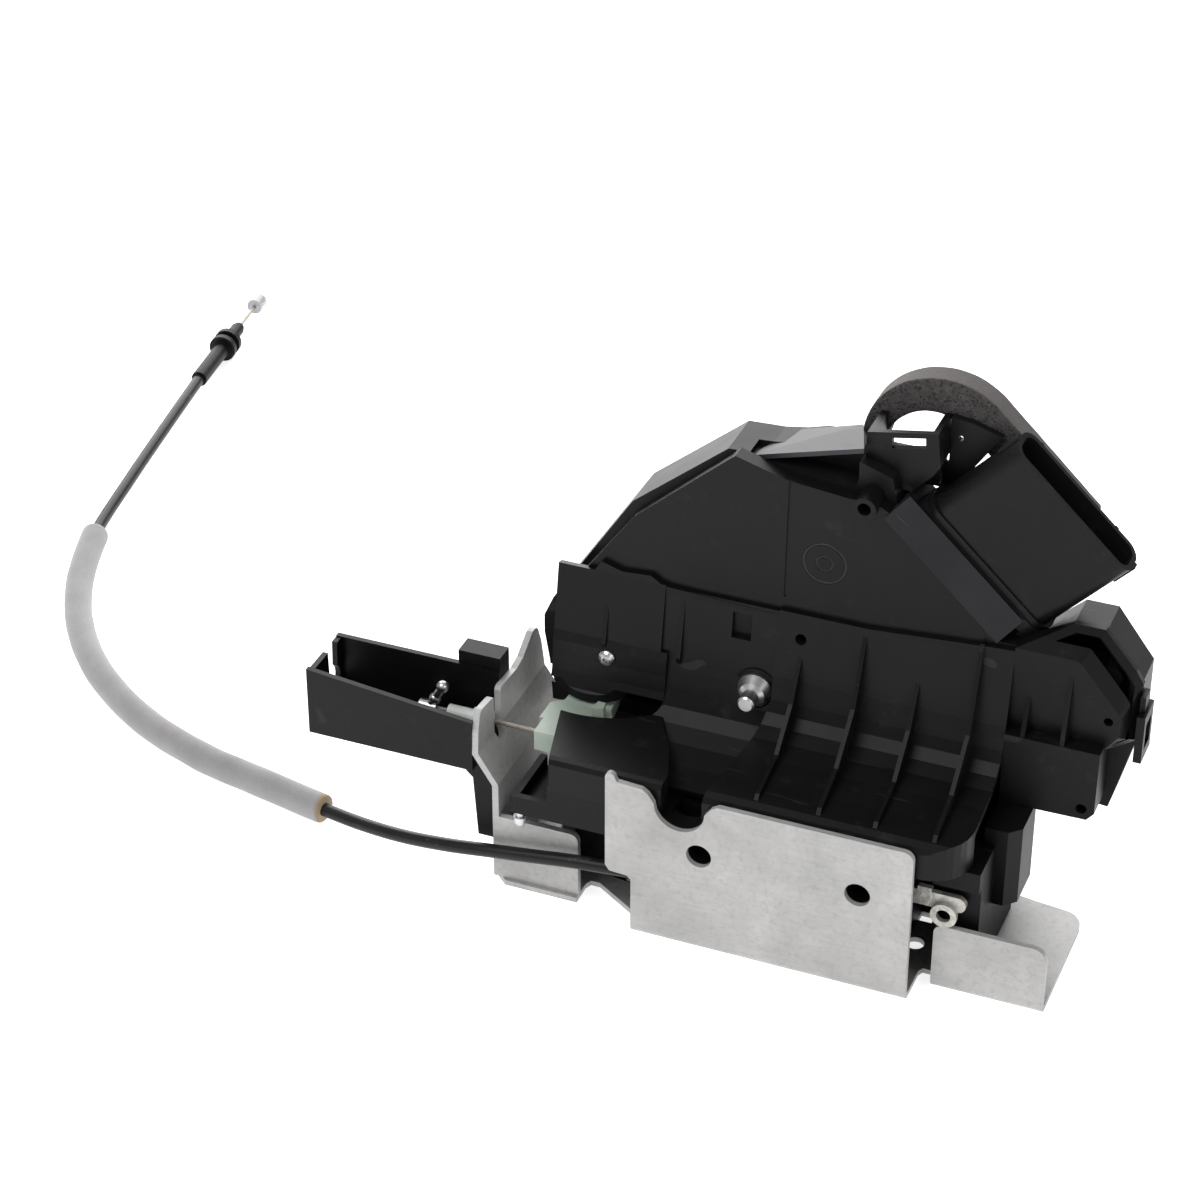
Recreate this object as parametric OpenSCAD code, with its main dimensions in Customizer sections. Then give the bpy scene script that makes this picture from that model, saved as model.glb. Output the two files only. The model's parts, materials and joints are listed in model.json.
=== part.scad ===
// Tailgate latch: a lock unit on a bent steel frame, with a ribbed cover, a plug socket with a foam
// gasket, a release lever with its pull wire in a channel, and a sheathed pull cable.
// X runs along the front plate, Y away from its front face, Z up. The origin is midway between the
// two bolt holes, on the plate's front face. All sizes are in millimetres.

/* [Frame] */
// Thickness of the frame sheet
sheet = 2; // [1.6:0.1:2.6]
// Distance between the two bolt holes
hole_pitch = 56; // [52:0.5:60]
// Diameter of the bolt holes
bolt_hole = 9; // [7:0.1:10]
// Height of the bolt holes above the underside of the base
hole_height = 40; // [38:0.5:44]
// Radius of the striker notch
notch_r = 9; // [7.5:0.1:9.5]
// Height of the right tab
tab_height = 27; // [20:0.5:32]
// Depth of the base behind the front plate
base_depth = 73; // [66:0.5:78]

/* [Cable bracket] */
// Height of the bracket's front flange
flange_height = 28; // [22:0.5:29]
// Sideways step of the bracket
joggle = 7.3; // [5:0.1:7.4]
// Width of the wire slot in the bracket
wire_slot = 5.6; // [4.8:0.1:7]

/* [Channel] */
// Height of the channel's walls
channel_height = 26; // [20:0.5:28]
// Wall thickness of the channel
channel_wall = 2; // [1.5:0.1:2.5]

/* [Cover] */
// Wall thickness of the cover and of the rear shell
wall = 2.5; // [2:0.1:3]
// Thickness of the stiffening ribs
rib = 1.5; // [1:0.1:2.2]
// Bore of the screw boss
boss_bore = 4.6; // [3.5:0.1:5.5]
// Outside diameter of the screw boss
boss_outer = 8.2; // [7:0.1:9]

/* [Plug socket] */
// Long side of the socket
plug_long = 56; // [48:0.5:58]
// Short side of the socket
plug_thick = 15; // [13:0.5:16]
// Depth of the socket
plug_depth = 39; // [30:0.5:42]
// Wall thickness of the socket
plug_wall = 1.8; // [1.4:0.1:2.4]
// Number of contact blades in a row
blades = 8; // [4:1:9]

/* [Foam gasket] */
// Thickness of the gasket along Y
gasket_deep = 10; // [7:0.5:11]
// Width of the gasket's band
gasket_band = 11; // [8:0.5:13]

/* [Mechanism] */
// Diameter of the catch's pivot pin
catch_pin = 6; // [5:0.1:7]
// Thickness of catch and pawl
catch_thick = 5; // [4:0.1:5.4]
// Radial running clearance of the pivots
run_gap = 0.05; // [0.02:0.01:0.1]
// Diameter of the lever's pivot pin
lever_pin = 6; // [5:0.1:7]
// Diameter of the drive motor
motor_d = 20; // [16:0.5:22]
// Teeth of the drive gear
gear_teeth = 30; // [24:1:34]

/* [Locating stud] */
// Diameter of the stud's pin
stud_d = 6; // [4.5:0.1:7]
// Diameter of the stud's collar
collar_d = 12.6; // [10:0.1:14]

/* [Cable] */
// Diameter of the cable's casing
casing_d = 5; // [4.5:0.1:5.5]
// Outside diameter of the foam sleeve
foam_d = 11; // [9:0.5:11]
// Diameter of the pull wires
wire_d = 1.6; // [1.2:0.1:2]
// Diameter of the nipple
nipple_d = 7; // [5:0.1:8]

/* [Hidden] */
$fn = 48;

zb = -hole_height;                 // underside of the base
zt = zb + sheet;                   // top of the base
face_y = 54;                       // front of the upper wall
split_y = 60;                      // joint of cover and rear shell
back_y = 80;                       // back of the rear shell
block_y = 75;                      // back of the shell's end block
arm_y = 69;                        // front of the shell's arm behind the screw boss
boss_at = [8.7, 116.6];            // screw boss, X and Z
screw_at = [-79.7, 38.7];          // small screw, X and Z
screw_y = 46.4;                    // seat of its head
seat = [-35.3, 17.5];              // centre of the striker notch, X and Z
bend = sheet + 1.2;                // outer radius of the frame's bends

lever_at = [-86, 70];              // pivot of the release lever, X and Y
slot_in = 27.5;                    // inner radius of the lever slot
slot_out = 38.5;                   // outer radius of the lever slot
shelf_z = 23;                      // top of the lever shelf
wire_y = 27;
wire_z = 15.2;

catch_at = [-20, -28.5];           // catch pivot, X and Z
pawl_at = [20, -22];               // pawl pivot, X and Z
catch_y = 10.4;                    // front of the catch's layer

plug_turn = 46.5;                  // direction of the socket's opening in the X-Z plane
plug_y = 67.5;                     // middle of the socket along Y
plug_foot = [41.5, 90];            // foot of the socket's axis, X and Z
// Point of the X-Z plane from its places along and across the socket's axis
function from_socket(x, z) = plug_foot + x * [cos(plug_turn), sin(plug_turn)] + z * [-sin(plug_turn),
    cos(plug_turn)];
foot_x = 9.2;                      // base of the socket's shroud
seat_x = 3.7;                      // housing's slanted face under the socket
collar_long = plug_long + 3.5;     // long side of the socket's collar
low_end = -collar_long / 2 - 0.85; // lower end of the housing's seat along the socket's long side
high_end = collar_long / 2 + 5;    // upper end of that seat

gear_at = [1, 84];                 // drive gear's axis, X and Z
gear_module = 1;
pinion_teeth = 12;
gear_y = 63;
pinion_at = gear_at - [gear_module * (gear_teeth + pinion_teeth) / 2 + 0.1, 0];
shell_screw_at = [[-88, 50], [-40, 118], [93, 66], [-48, -21], [50, -21]];
function shell_back(p) = p[0] > 70 ? block_y : back_y;

// Helpers
function unit(v) = v / norm(v);
function arc(c, r, a0, a1, n = 5) =
    [for (i = [0:n]) c + r * [cos(a0 + (a1 - a0) * i / n), sin(a0 + (a1 - a0) * i / n)]];
// Point i of an open line, moved sideways by t to the left of its direction
function side(p, i, t) =
    let (n = len(p), a = i > 0 ? unit(p[i] - p[i - 1]) : unit(p[1] - p[0]),
         b = i < n - 1 ? unit(p[i + 1] - p[i]) : a, m = [-a[1] - b[1], a[0] + b[0]])
    p[i] + m * t / (1 + a * b);
// Outline of a bent sheet of thickness t along an open line
function strip(p, t) = concat(p, [for (i = [len(p) - 1:-1:0]) side(p, i, t)]);
// Closed outline moved inwards by t, for points that run anticlockwise
function inset(p, t) =
    [for (i = [0:len(p) - 1])
        let (n = len(p), a = unit(p[i] - p[(i + n - 1) % n]), b = unit(p[(i + 1) % n] - p[i]),
             m = [-a[1] - b[1], a[0] + b[0]]) p[i] + m * t / (1 + a * b)];

module on_x(x0, x1) translate([x0, 0, 0]) rotate([90, 0, 90]) linear_extrude(x1 - x0) children();
module on_y(y0, y1) translate([0, y1, 0]) rotate([90, 0, 0]) linear_extrude(y1 - y0) children();
module on_z(z0, z1) translate([0, 0, z0]) linear_extrude(z1 - z0) children();
module rod_x(y, z, r, x0, x1) translate([x0, y, z]) rotate([0, 90, 0]) cylinder(r = r, h = x1 - x0);
module rod_y(x, z, r, y0, y1) translate([x, y0, z]) rotate([-90, 0, 0]) cylinder(r = r, h = y1 - y0);
module rod_z(x, y, r, z0, z1) translate([x, y, z0]) cylinder(r = r, h = z1 - z0);
module box(a, b) translate(a) cube(b - a);
// Body between outline a at depth ya and outline b with as many points at depth yb
module loft(a, ya, b, yb) {
    n = len(a);
    polyhedron(points = concat([for (q = a) [q[0], ya, q[1]]], [for (q = b) [q[0], yb, q[1]]]),
        faces = concat([[for (k = [0:n - 1]) n - 1 - k]], [[for (k = [0:n - 1]) n + k]],
            [for (k = [0:n - 1]) each [[k, (k + 1) % n, n + k], [(k + 1) % n, n + (k + 1) % n, n + k]]]));
}

// Steel frame
module plate_outline() difference() {
    polygon(concat(
        [[-52.5, zb + bend], [46.5, zb + bend]], arc([43, 18.5], 3.5, 0, 90),
        [[-21.5, 22], [-24, 20.5], [-26.2, seat[1]], [-44.4, seat[1]], [-46.4, 20.6], [-48.6, 22.2],
         [-57.6, 22.8]],
        arc([-60.1, 24], 1.8, 0, 180, 6), [[-61.9, -13], [-60.4, -15.2], [-54, -15.6], [-52.5, -17]]));
    translate(seat) circle(r = notch_r);
    for (s = [-1, 1]) translate([s * hole_pitch / 2, 0]) circle(d = bolt_hole);
}
// Section of a front-facing bend whose outer corner lies at depth y
module bend_section(y) polygon(concat(
    arc([y + bend, zb + bend], bend, 180, 270, 6), arc([y + bend, zb + bend], bend - sheet, 270, 180, 6)));
module base_outline() polygon(concat(
    [[-52.5, bend], [46.5, bend], [46.5, 15], [47.5, 17], [51, 17], [52, 15], [52, 10.5 + bend],
     [91, 10.5 + bend], [91, 54]],
    arc([83, 58], 8, 0, 70, 4), [[73, 67], [66, 68], [58, base_depth - 3], [52, base_depth]],
    [[-72, base_depth], [-80, 66], [-107, 66], [-107, 12], [-103, 8.5], [-76, 8.5], [-76, 17],
     [-75, 19.5], [-71.5, 19.5], [-56.5, 10], [-52.5, 9]]));
// The sheet is bent in one piece: front plate with its bend, then the base with its tab
module frame_plate() color([0.78, 0.78, 0.77]) union() {
    on_y(0, sheet) plate_outline();
    on_x(-52.5, 46.5) bend_section(0);
}
module frame_base() color([0.78, 0.78, 0.77]) difference() {
    union() {
        on_z(zb, zt) base_outline();
        on_x(52, 91) bend_section(10.5);
        on_y(10.5, 10.5 + sheet) polygon(concat(
            [[52, zb + bend], [91, zb + bend]], arc([86, zb + tab_height - 5], 5, 0, 90),
            arc([55, zb + tab_height - 3], 3, 90, 180)));
    }
    rod_z(41, 29, 3.2, zb - 1, zt + 1);
    box([38, 41.5, zb - 1], [43, 46.5, zt + 1]);
}

module cable_bracket() color([0.78, 0.78, 0.77]) {
    x0 = -108;
    x1 = x0 - joggle;
    t = 2.3;
    union() {
        on_y(10, 10 + t) polygon(concat(
            [[x0, zt], [-76, zt]], arc([-79, zt + flange_height - 5], 3, 0, 90), [[x0,
                zt + flange_height - 2]]));
        intersection() {
            on_y(10, 70) polygon([[x0, zt], [x0 + t, zt], [x0 + t, 1.4], [x1 + t, 12.8], [x1 + t, 40],
                                  [x1, 40], [x1, 12.1], [x0, 0.7]]);
            difference() {
                on_x(-125, -100) polygon(concat(
                    [[10, zt], [64, zt], [69.5, -2], [69.5, 12], [66.5, 25]], arc([60, 29], 4.5, 10, 130, 5),
                    [[50, 28], [44, 26.8]], arc([31.6, 26], 1.8, 80, 180, 4),
                    arc([22.4, 25.4], 2.6, 0, 80, 4), arc([14.4, 26.6], 2.4, 95, 170, 4), [[10.5, 21], [10,
                        12.3]]));
                on_x(-126, -99) polygon([[wire_y - wire_slot / 2, 11.5], [wire_y + wire_slot / 2, 11.5],
                                         [wire_y + wire_slot / 2, 40], [wire_y - wire_slot / 2, 40]]);
                rod_x(wire_y, 11.5, wire_slot / 2, -126, -99);
            }
        }
    }
}

// Open channel for the pull wire's end
module cable_channel() color([0.08, 0.08, 0.085]) {
    x0 = -178;
    x1 = -108 - joggle;
    z0 = 5;
    w = channel_wall;
    top = z0 + channel_height;
    union() {
        box([x0, 10, z0], [x1, 36, z0 + w]);
        // front wall, whose top slopes down towards the bracket
        on_y(10, 10 + w) polygon([[x0, z0 + 1], [x1, z0 + 1], [x1, top - 6], [x0, top + 0.6]]);
        box([x0, 36 - w, z0 + 1], [x1, 36, top]);
        // end wall with the wire's slot
        difference() {
            box([x0, 11, z0 + 1], [x0 + w, 35, top - 0.5]);
            on_x(x0 - 1, x0 + w + 1) polygon([[wire_y - 3, 18], [wire_y + 3, 18], [wire_y + 4, 40],
                [wire_y - 4, 40]]);
            rod_x(wire_y, 17, 5, x0 - 1, x0 + w + 1);
        }
        box([-131, 35, 14], [x1, 43, 36]);
        on_y(13, 33) polygon([[-122.5, z0 + 0.5], [-116.6, 0], [-115, -24], [-108, -24], [-108, 0.7], [x1,
            12.1],
                              [x1, z0 + 0.5]]);
    }
}
module wire_guide() color([0.85, 0.85, 0.83]) difference() {
    union() {
        rod_x(wire_y, wire_z, wire_slot / 2 - 0.2, -131.5, -120);
        rod_x(wire_y, wire_z, wire_slot / 2 + 0.7, -122, -108 - joggle);
    }
    rod_x(wire_y, wire_z, wire_d / 2 + 0.3, -132, -111);
}

// Ribbed front cover; its section lines run from the front edge to the upper wall, Y and Z
left_line = [[3, 10], [3, 21], [4, 22.6], [6, shelf_z], [41, shelf_z], [43.4, 25], [45.2, 30], [46, 36],
             [46.4, 41.5], [47.6, 45], [52, 69.5]];
mouth_line = [[16.8, 13], [26, 15.5], [34, 18.6], [40, 22], [44, 26], [46.4, 31], [47.6, 36.5], [48.6, 42],
              [49.4, 47.5], [52.3, 68.8]];
flare_line = [[3.2, 10], [3.2, 20], [4.2, 22], [6.5, 23.2], [16, 24.2], [27, 25.9], [35, 27.8], [40, 30.2],
              [43.4, 33.4], [45.4, 37.4], [46.4, 41.5], [47.6, 45.5], [52, 69.5]];
// Sides of the striker's funnel, X and Y
funnel_left = [[-43.6, 0], [-44, 5], [-46.4, 12], [-50.5, 23.8], [-55.5, 32], [-60.5, 43], [-60.5, 60]];
funnel_right = [[-28.8, 0], [-28.4, 3.2], [-19.6, 46.5], [-19.6, 60]];
flare_corner = [48, 17.2];         // centre of the flare's rounded corner, X and Y
wall_outline = [[-102, 45], [84, 45], [84, 74.4], [54, 74.4], [16.1, 114.6], [10, 118], [2.7, 117], [-19,
    119.2],
                [-37.5, 124.5], [-41, 121.5], [-73, 93], [-102, 52]];
step_outline = [[-96, 50], [83, 50], [83, 74.3], [56, 73], [-3.4, 68.3], [-24.4, 67.7], [-61.5, 69],
                [-66, 72], [-76.5, 71.2], [-84, 73.5], [-93, 60]];
block_front = [[62, 42.5], [94.5, 42.5], [98.6, 48], [99, 55], [98.3, 57], [84.2, 74], [82.9, 74.6], [62,
    74.6]];
block_rim = [[62, 40], [97, 40], [104, 45], [104.2, 67], [101.5, 71.5], [90, 85], [80, 85], [62, 74.6]];

module gusset(x, p) on_x(x - rib / 2, x + rib / 2) polygon(p);
// One moulding: lever shelf, striker's funnel, flare over the lock, upper wall and end block
module cover_moulding() {
    difference() {
        union() {
            // lever shelf with its front wall
            difference() {
                on_x(-100, -43) polygon(strip(left_line, -wall));
                on_z(0, 80) polygon(concat(funnel_left, [[-40, 60], [-40, 0]]));
            }
            // funnel of the striker: back, left side and right side
            intersection() {
                on_x(-63, -17) polygon(strip(mouth_line, -wall));
                on_z(0, 80) polygon(concat([for (q = funnel_left) q - [0.8, 0]], [[-17, 60], [-17, 46.5],
                    [-27, 0]]));
            }
            intersection() {
                on_z(10.4, 60) polygon(strip(funnel_left, -wall));
                on_x(-64, -43) polygon(concat([[3, 10.4]], [for (i = [1:len(left_line) - 2]) left_line[i]],
                    [[50, 40], [46, 20]]));
            }
            intersection() {
                on_z(10.4, 60) polygon(strip(funnel_right, -wall));
                on_x(-30, -16) polygon(concat([[3.2, 10.4]], [for (i = [1:len(flare_line) - 2])
                    flare_line[i]], [[51, 41], [48, 20]]));
            }
            // flare over the lock, with a rounded corner and its right end wall
            difference() {
                union() {
                    on_x(-29.5, 62) polygon(strip(flare_line, -wall));
                    on_x(56.5, 59) polygon(concat(flare_line, [[50, 44], [30, 10]]));
                }
                on_z(0, 80) polygon(concat(funnel_right, [[-30, 60], [-30, 0]]));
                on_z(5, 30) polygon(concat([[49, 0]], arc(flare_corner, 14, -88, 0, 8), [[64, 17.2], [64,
                    0]]));
            }
            intersection() {
                on_z(10, 30) polygon(concat(arc(flare_corner, 14, -90, 0, 8), arc(flare_corner, 14 - wall,
                    0, -90, 8)));
                on_x(47, 63) polygon(concat([for (i = [0:7]) flare_line[i]], [[40, 10]]));
            }
            // upper wall, its raised lower field and the rim
            on_y(face_y, face_y + wall) polygon(wall_outline);
            on_y(face_y - 2, face_y + 0.5) polygon(step_outline);
            difference() {
                on_y(face_y, split_y) polygon(wall_outline);
                on_y(face_y + wall, split_y + 1) polygon(inset(wall_outline, wall));
            }
            // slanted seat of the socket
            translate([plug_foot[0], 0, plug_foot[1]]) rotate([0, -plug_turn, 0]) on_z(low_end + 9.2,
                high_end + 0.6)
                polygon([[-wall - 2, face_y + 0.4], [-1.8, face_y + 0.4], [1.1, split_y - 0.1],
                             [-wall - 2, split_y - 0.1]]);
            // end block on the right
            difference() {
                union() {
                    loft(block_front, 52, block_rim, 58);
                    on_y(57.9, split_y) polygon(block_rim);
                    on_y(46, 58) polygon([[62, 16.5], [92, 17], [94.5, 20], [94.6, 44], [62, 44]]);
                }
                box([60, 48.5, 19.5], [92.1, 61, 41]);
                on_y(54.5, 61) polygon(inset(block_rim, wall));
            }
            // boss for the fixing screw
            rod_y(boss_at[0], boss_at[1], boss_outer / 2, 50, split_y);
            // ribs
            gusset(-81.2, [[54, 50], [52.5, 67.5], [46.2, 43.8], [46.9, 41.6], [49, 42]]);
            gusset(-54, [[54, 50], [52.5, 68.5], [47.2, 44], [48.2, 41.4], [50, 42]]);
            for (x = [-10.8, 30.6]) gusset(x, [[5.6, 21.6], [8.8, 24.9], [27, 28.7], [40.6, 40.6], [50,
                55.6], [52, 55],
                [50, 45], [45, 35], [38, 27], [24, 24]]);
            for (x = [11, 51]) gusset(x, [[5.6, 21.6], [8.8, 25.2], [24.8, 30.3], [40.9, 43.9], [51.9,
                x > 20 ? 73.5 : 67.5],
                [54, x > 20 ? 73 : 67], [52, 50], [45, 35], [38, 27], [24, 24]]);
            for (x = [68, 81.5]) gusset(x, [[46.2, 43.6], [52.5, x > 80 ? 70 : 58], [53, 43]]);
            rod_y(-26, 38, 8, 48.5, 51.4);
        }
        // slot of the release lever
        difference() {
            rod_z(lever_at[0], lever_at[1], slot_out, shelf_z - 4, shelf_z + 4.3);
            rod_z(lever_at[0], lever_at[1], slot_in, shelf_z - 5, shelf_z + 5);
            on_z(shelf_z - 5, shelf_z + 5) translate(lever_at) polygon([[0, 0], [60, -64], [60, 60], [-60,
                60]]);
        }
        rod_z(lever_at[0] + 33 * cos(47), lever_at[1] - 33 * sin(47), 5.5, shelf_z - 4, shelf_z + 4.3);
        // the shelf ends short of the bracket, and the lever's end is open there
        on_z(0, shelf_z + 4.3) polygon([[-101, 0], [-83, 0], [-91, 31], [-91, 42.6], [-101, 43]]);
        // flat under the screw's head, and the stud's seat
        rod_y(screw_at[0], screw_at[1], 3.2, 40, screw_y);
        rod_y(-26, 38, collar_d / 2 + 0.3, 38, 48.5);
        // way of the catch through the funnel's right side
        box([-30, 9.8, 8], [-17, 16.2, 20.7]);
        // holes
        rod_y(boss_at[0], boss_at[1], boss_bore / 2, 40, split_y + 1);
        for (p = [[-11.2, 60.6, 2], [95, 53.6, 1.6], [90, 21, 1.9]]) rod_y(p[0], p[1], p[2], 40, 57);
        box([-36, 48, 55.4], [-29, 53, 65]);
        on_y(face_y - 0.6, face_y + 0.01) translate([-5.1, 90.1]) difference() {
            circle(r = 7.8);
            circle(r = 7);
        }
        // upright step of the upper wall
        on_y(face_y - 1, face_y + 0.4) polygon([[-19, 74], [-18.2, 74], [-17.6, 124], [-18.4, 124]]);
        rod_y(-26, 38, 3.02, 46, 60);
        rod_y(screw_at[0], screw_at[1], 1.7, 40, 60);
    }
}

// Three pieces of the moulding, parted at the middle of the funnel and above the shelf and flare
part_x = seat[0];
part_z = 31.3;
flare_end = 60.3;
module front_cover() color([0.1, 0.1, 0.105]) difference() {
    cover_moulding();
    box([-110, -2, -12], [flare_end, 60, part_z]);
}
module lever_shelf() color([0.1, 0.1, 0.105]) intersection() {
    cover_moulding();
    box([-110, -2, -12], [part_x, 60, part_z]);
}
module lock_flare() color([0.1, 0.1, 0.105]) intersection() {
    cover_moulding();
    box([part_x, -2, -12], [flare_end, 60, part_z]);
}

// Rear shell
shell_left = [[-14, 129.5], [-21, 131.8], [-29, 133], [-38, 131], [-76, 95], [-105.5, 49], [-109, 41],
    [-109, 34],
              [-107, 22], [-106, 6], [-59, 6], [-59, -30], [60, -30], [66, 14]];
shell_top = [from_socket(1, low_end), from_socket(1, high_end), [15, 124], [2, 128.5]];
shell_main = concat(shell_left, [[66, 66]], shell_top);
shell_block = [[63.2, 17], [96, 14], [103.4, 44], [103.4, 66.6], [100, 71], [90.2, 84], [79.2, 84],
               from_socket(5.1, low_end), from_socket(2.2, low_end - 1.2), [63.2, 64]];
arm_recess = [[-33, 127], [-19.4, 120.5], [2.6, 118.3], [3.4, 121], [3.4, 140], [-33, 140]];
// Plate that carries the gasket's right leg, behind the socket
gasket_plate = [[16, 114], [30, 114], from_socket(20, 26), from_socket(37, 29), [44, 137.5], [36, 140],
    [28.6, 141],
                [28.6, 124]];
module rear_shell() color([0.16, 0.16, 0.165]) difference() {
    union() {
        difference() {
            union() {
                on_y(split_y, back_y) polygon(shell_main);
                on_y(split_y, block_y) polygon(shell_block);
            }
            on_y(split_y - 1, back_y - wall) polygon(inset(shell_main, wall));
            on_y(split_y - 1, block_y - wall) polygon(inset(shell_block, wall));
        }
        // front wall at the joint, outside the cover's rim
        difference() {
            union() {
                on_y(split_y, split_y + 1.6) polygon(shell_main);
                on_y(split_y, split_y + 1.6) polygon(shell_block);
            }
            on_y(split_y - 1, split_y + 2) polygon(inset(wall_outline, 2 * wall));
            on_y(split_y - 1, split_y + 2) polygon(inset(block_rim, 2 * wall));
        }
        intersection() {
            on_y(arm_y, arm_y + 2) polygon(shell_main);
            on_y(arm_y - 1, arm_y + 3) polygon([for (q = arm_recess) q + [0.3, -2.4]]);
        }
        on_y(split_y + 0.2, arm_y + 1) polygon([[-34, 127.6], [-19.4, 120.7], [5, 118.4], [5, 116.4],
            [-19.9, 118.6],
                                                [-35.4, 126]]);
        translate([plug_foot[0], 0, plug_foot[1]]) rotate([0, -plug_turn, 0]) on_z(low_end + 6.6, high_end)
            polygon([[-wall, split_y + 0.1], [1.2, split_y + 0.1], [seat_x, 65], [seat_x, back_y - 0.1],
                     [-wall, back_y - 0.1]]);
        on_y(77.4, back_y) polygon(gasket_plate);
        rod_y(boss_at[0], boss_at[1], boss_outer / 2, split_y, 74);
        // bearing posts of the release lever
        rod_z(lever_at[0], lever_at[1], 6.5, 6, 13.2);
        rod_z(lever_at[0], lever_at[1], 6.5, 20.8, 28);
        box([lever_at[0] - 6.5, lever_at[1], 6], [lever_at[0] + 6.5, back_y, 13.2]);
        box([lever_at[0] - 6.5, lever_at[1], 20.8], [lever_at[0] + 6.5, back_y, 28]);
        // seat of the motor, post of the gear's pin, and posts of the screws
        rod_y(pinion_at[0], pinion_at[1], motor_d / 2 + 2, 72, back_y);
        rod_y(gear_at[0], gear_at[1], 5, gear_y + 4.4, back_y);
        for (p = shell_screw_at) rod_y(p[0], p[1], 3.5, split_y, shell_back(p));
        // outside ribs at the back
        for (x = [-70, -40, -10, 20, 50]) box([x, back_y - 0.5, 20], [x + 2, back_y + 1.5, 70]);
        box([-70, back_y - 0.5, 44], [52, back_y + 1.5, 46]);
    }
    // recess in front of the arm
    on_y(split_y - 1, arm_y) polygon(arm_recess);
    on_y(76, 84) translate([32.1, 133.6]) circle(r = 1);
    rod_y(boss_at[0], boss_at[1], boss_bore / 2, split_y - 1, 72);
    rod_z(lever_at[0], lever_at[1], lever_pin / 2, 3, 40);
    rod_y(pinion_at[0], pinion_at[1], motor_d / 2, split_y, back_y - wall);
    for (p = shell_screw_at) rod_y(p[0], p[1], 1.5, split_y + 4, back_y + 1);
    rod_y(gear_at[0], gear_at[1], 2.5, split_y, back_y - 4);
    // the lever's way in on the left
    on_z(13.2, 20.8) polygon([[-112, 40], [-60, 40], [-60, 77.2], [-100, 77.2], [-106, 68]]);
}

// Lock case under the cover
module lock_case() color([0.07, 0.07, 0.075]) difference() {
    union() {
        on_x(-52, 38) polygon([[sheet, zt + 1.5], [sheet + 1.5, zt], [20, zt], [20, 10], [sheet, 10]]);
        box([37, sheet, -9], [44, 20, 10]);
        box([-59, 16, zt], [38, split_y, 10]);
        // upper part over the base's holes, its right leg and its back
        box([37, 14, -9.5], [66, split_y, 10]);
        box([56, 14, zt], [66, split_y, -9]);
        box([37, 50, zt], [57, split_y, -9]);
        box([50, 12.8, -9.5], [66, 18, 9.9]);
        // light block at the right end, below the cover's end block
        on_z(-14, 16.5) polygon([[62, 30], [70, 30], [74, 34], [74, 50], [62, 50]]);
        // front wall left of the plate, and the body below it
        on_y(3, 30) polygon([[-98, -3], [-52, -3], [-52, 10], [-98, 10]]);
        on_z(zt, -2.5) polygon([[-97, 46], [-84, 27], [-58, 23], [-58, split_y], [-97, split_y]]);
    }
    // layer of catch and pawl
    on_y(10, 16.2) polygon([[-41, 11], [-36, -16], [-34, -35.4], [34, -35.4], [34, 3], [24, 11]]);
    // rear bay
    box([-56.5, 20.5, zt + wall], [35.5, split_y + 1, 7.5]);
    box([35.4, 20.5, -7], [63.5, split_y + 1, 7.5]);
    // way of the striker
    rod_y(seat[0], seat[1], 9.5, 1, 24);
    for (s = [-1, 1]) rod_y(s * hole_pitch / 2, 0, bolt_hole / 2, 1, 10.5);
    rod_y(catch_at[0], catch_at[1], catch_pin / 2, 5, 19.5);
    rod_y(pawl_at[0], pawl_at[1], 3, 5, 20.6);
    // bay of the pull link, with its guide slot
    box([44.4, 9.8, -16], [67, 15.6, 2]);
    box([30, 11.7, -7.3], [45, 14.3, -0.7]);
    rod_x(7.5, -19.5, 3.4, -60, -44);
    // space under the lever shelf
    box([-95.5, 5.5, -0.5], [-59, 31, 11]);
    box([-99, 2, 4], [-84.6, 31, 11]);
}
module shell_screws() color([0.7, 0.7, 0.7]) for (p = shell_screw_at) union() {
    rod_y(p[0], p[1], 1.5, split_y + 6, shell_back(p) + 0.5);
    rod_y(p[0], p[1], 3.1, shell_back(p), shell_back(p) + 1.6);
}

// Clips
module top_clip() color([0.1, 0.1, 0.105]) difference() {
    union() {
        difference() {
            on_y(65, back_y) polygon([[3.8, 122], [13, 118], [20.2, 117.6], [27, 125], [29.2, 128.8], [28,
                141], [4, 136.8]]);
            on_y(67, back_y + 1) polygon([[6.2, 123], [14, 121], [19.5, 121], [25, 127], [26.6, 129.8],
                [25.6, 143], [6.4, 139]]);
        }
        on_y(72, back_y) polygon([[5, 118], [27.4, 118], [27.4, 126], [5, 126]]);
    }
    on_y(64, 68) polygon([[12.6, 132.4], [24, 134.8], [23.8, 138.4], [12.6, 136.3]]);
    on_y(60, 83) polygon(shell_main);
    on_y(76, back_y + 1) polygon(gasket_plate);
    rod_y(boss_at[0], boss_at[1], boss_outer / 2 + 0.1, 60, 76);
}
module side_clip() color([0.07, 0.07, 0.075]) difference() {
    union() {
        box([104.2, 52, 40], [107, 64, 58]);
        box([104.2, 55, 57], [106, 61, 64]);
    }
    box([105.4, 54.5, 44], [108, 61.5, 54]);
}

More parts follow.
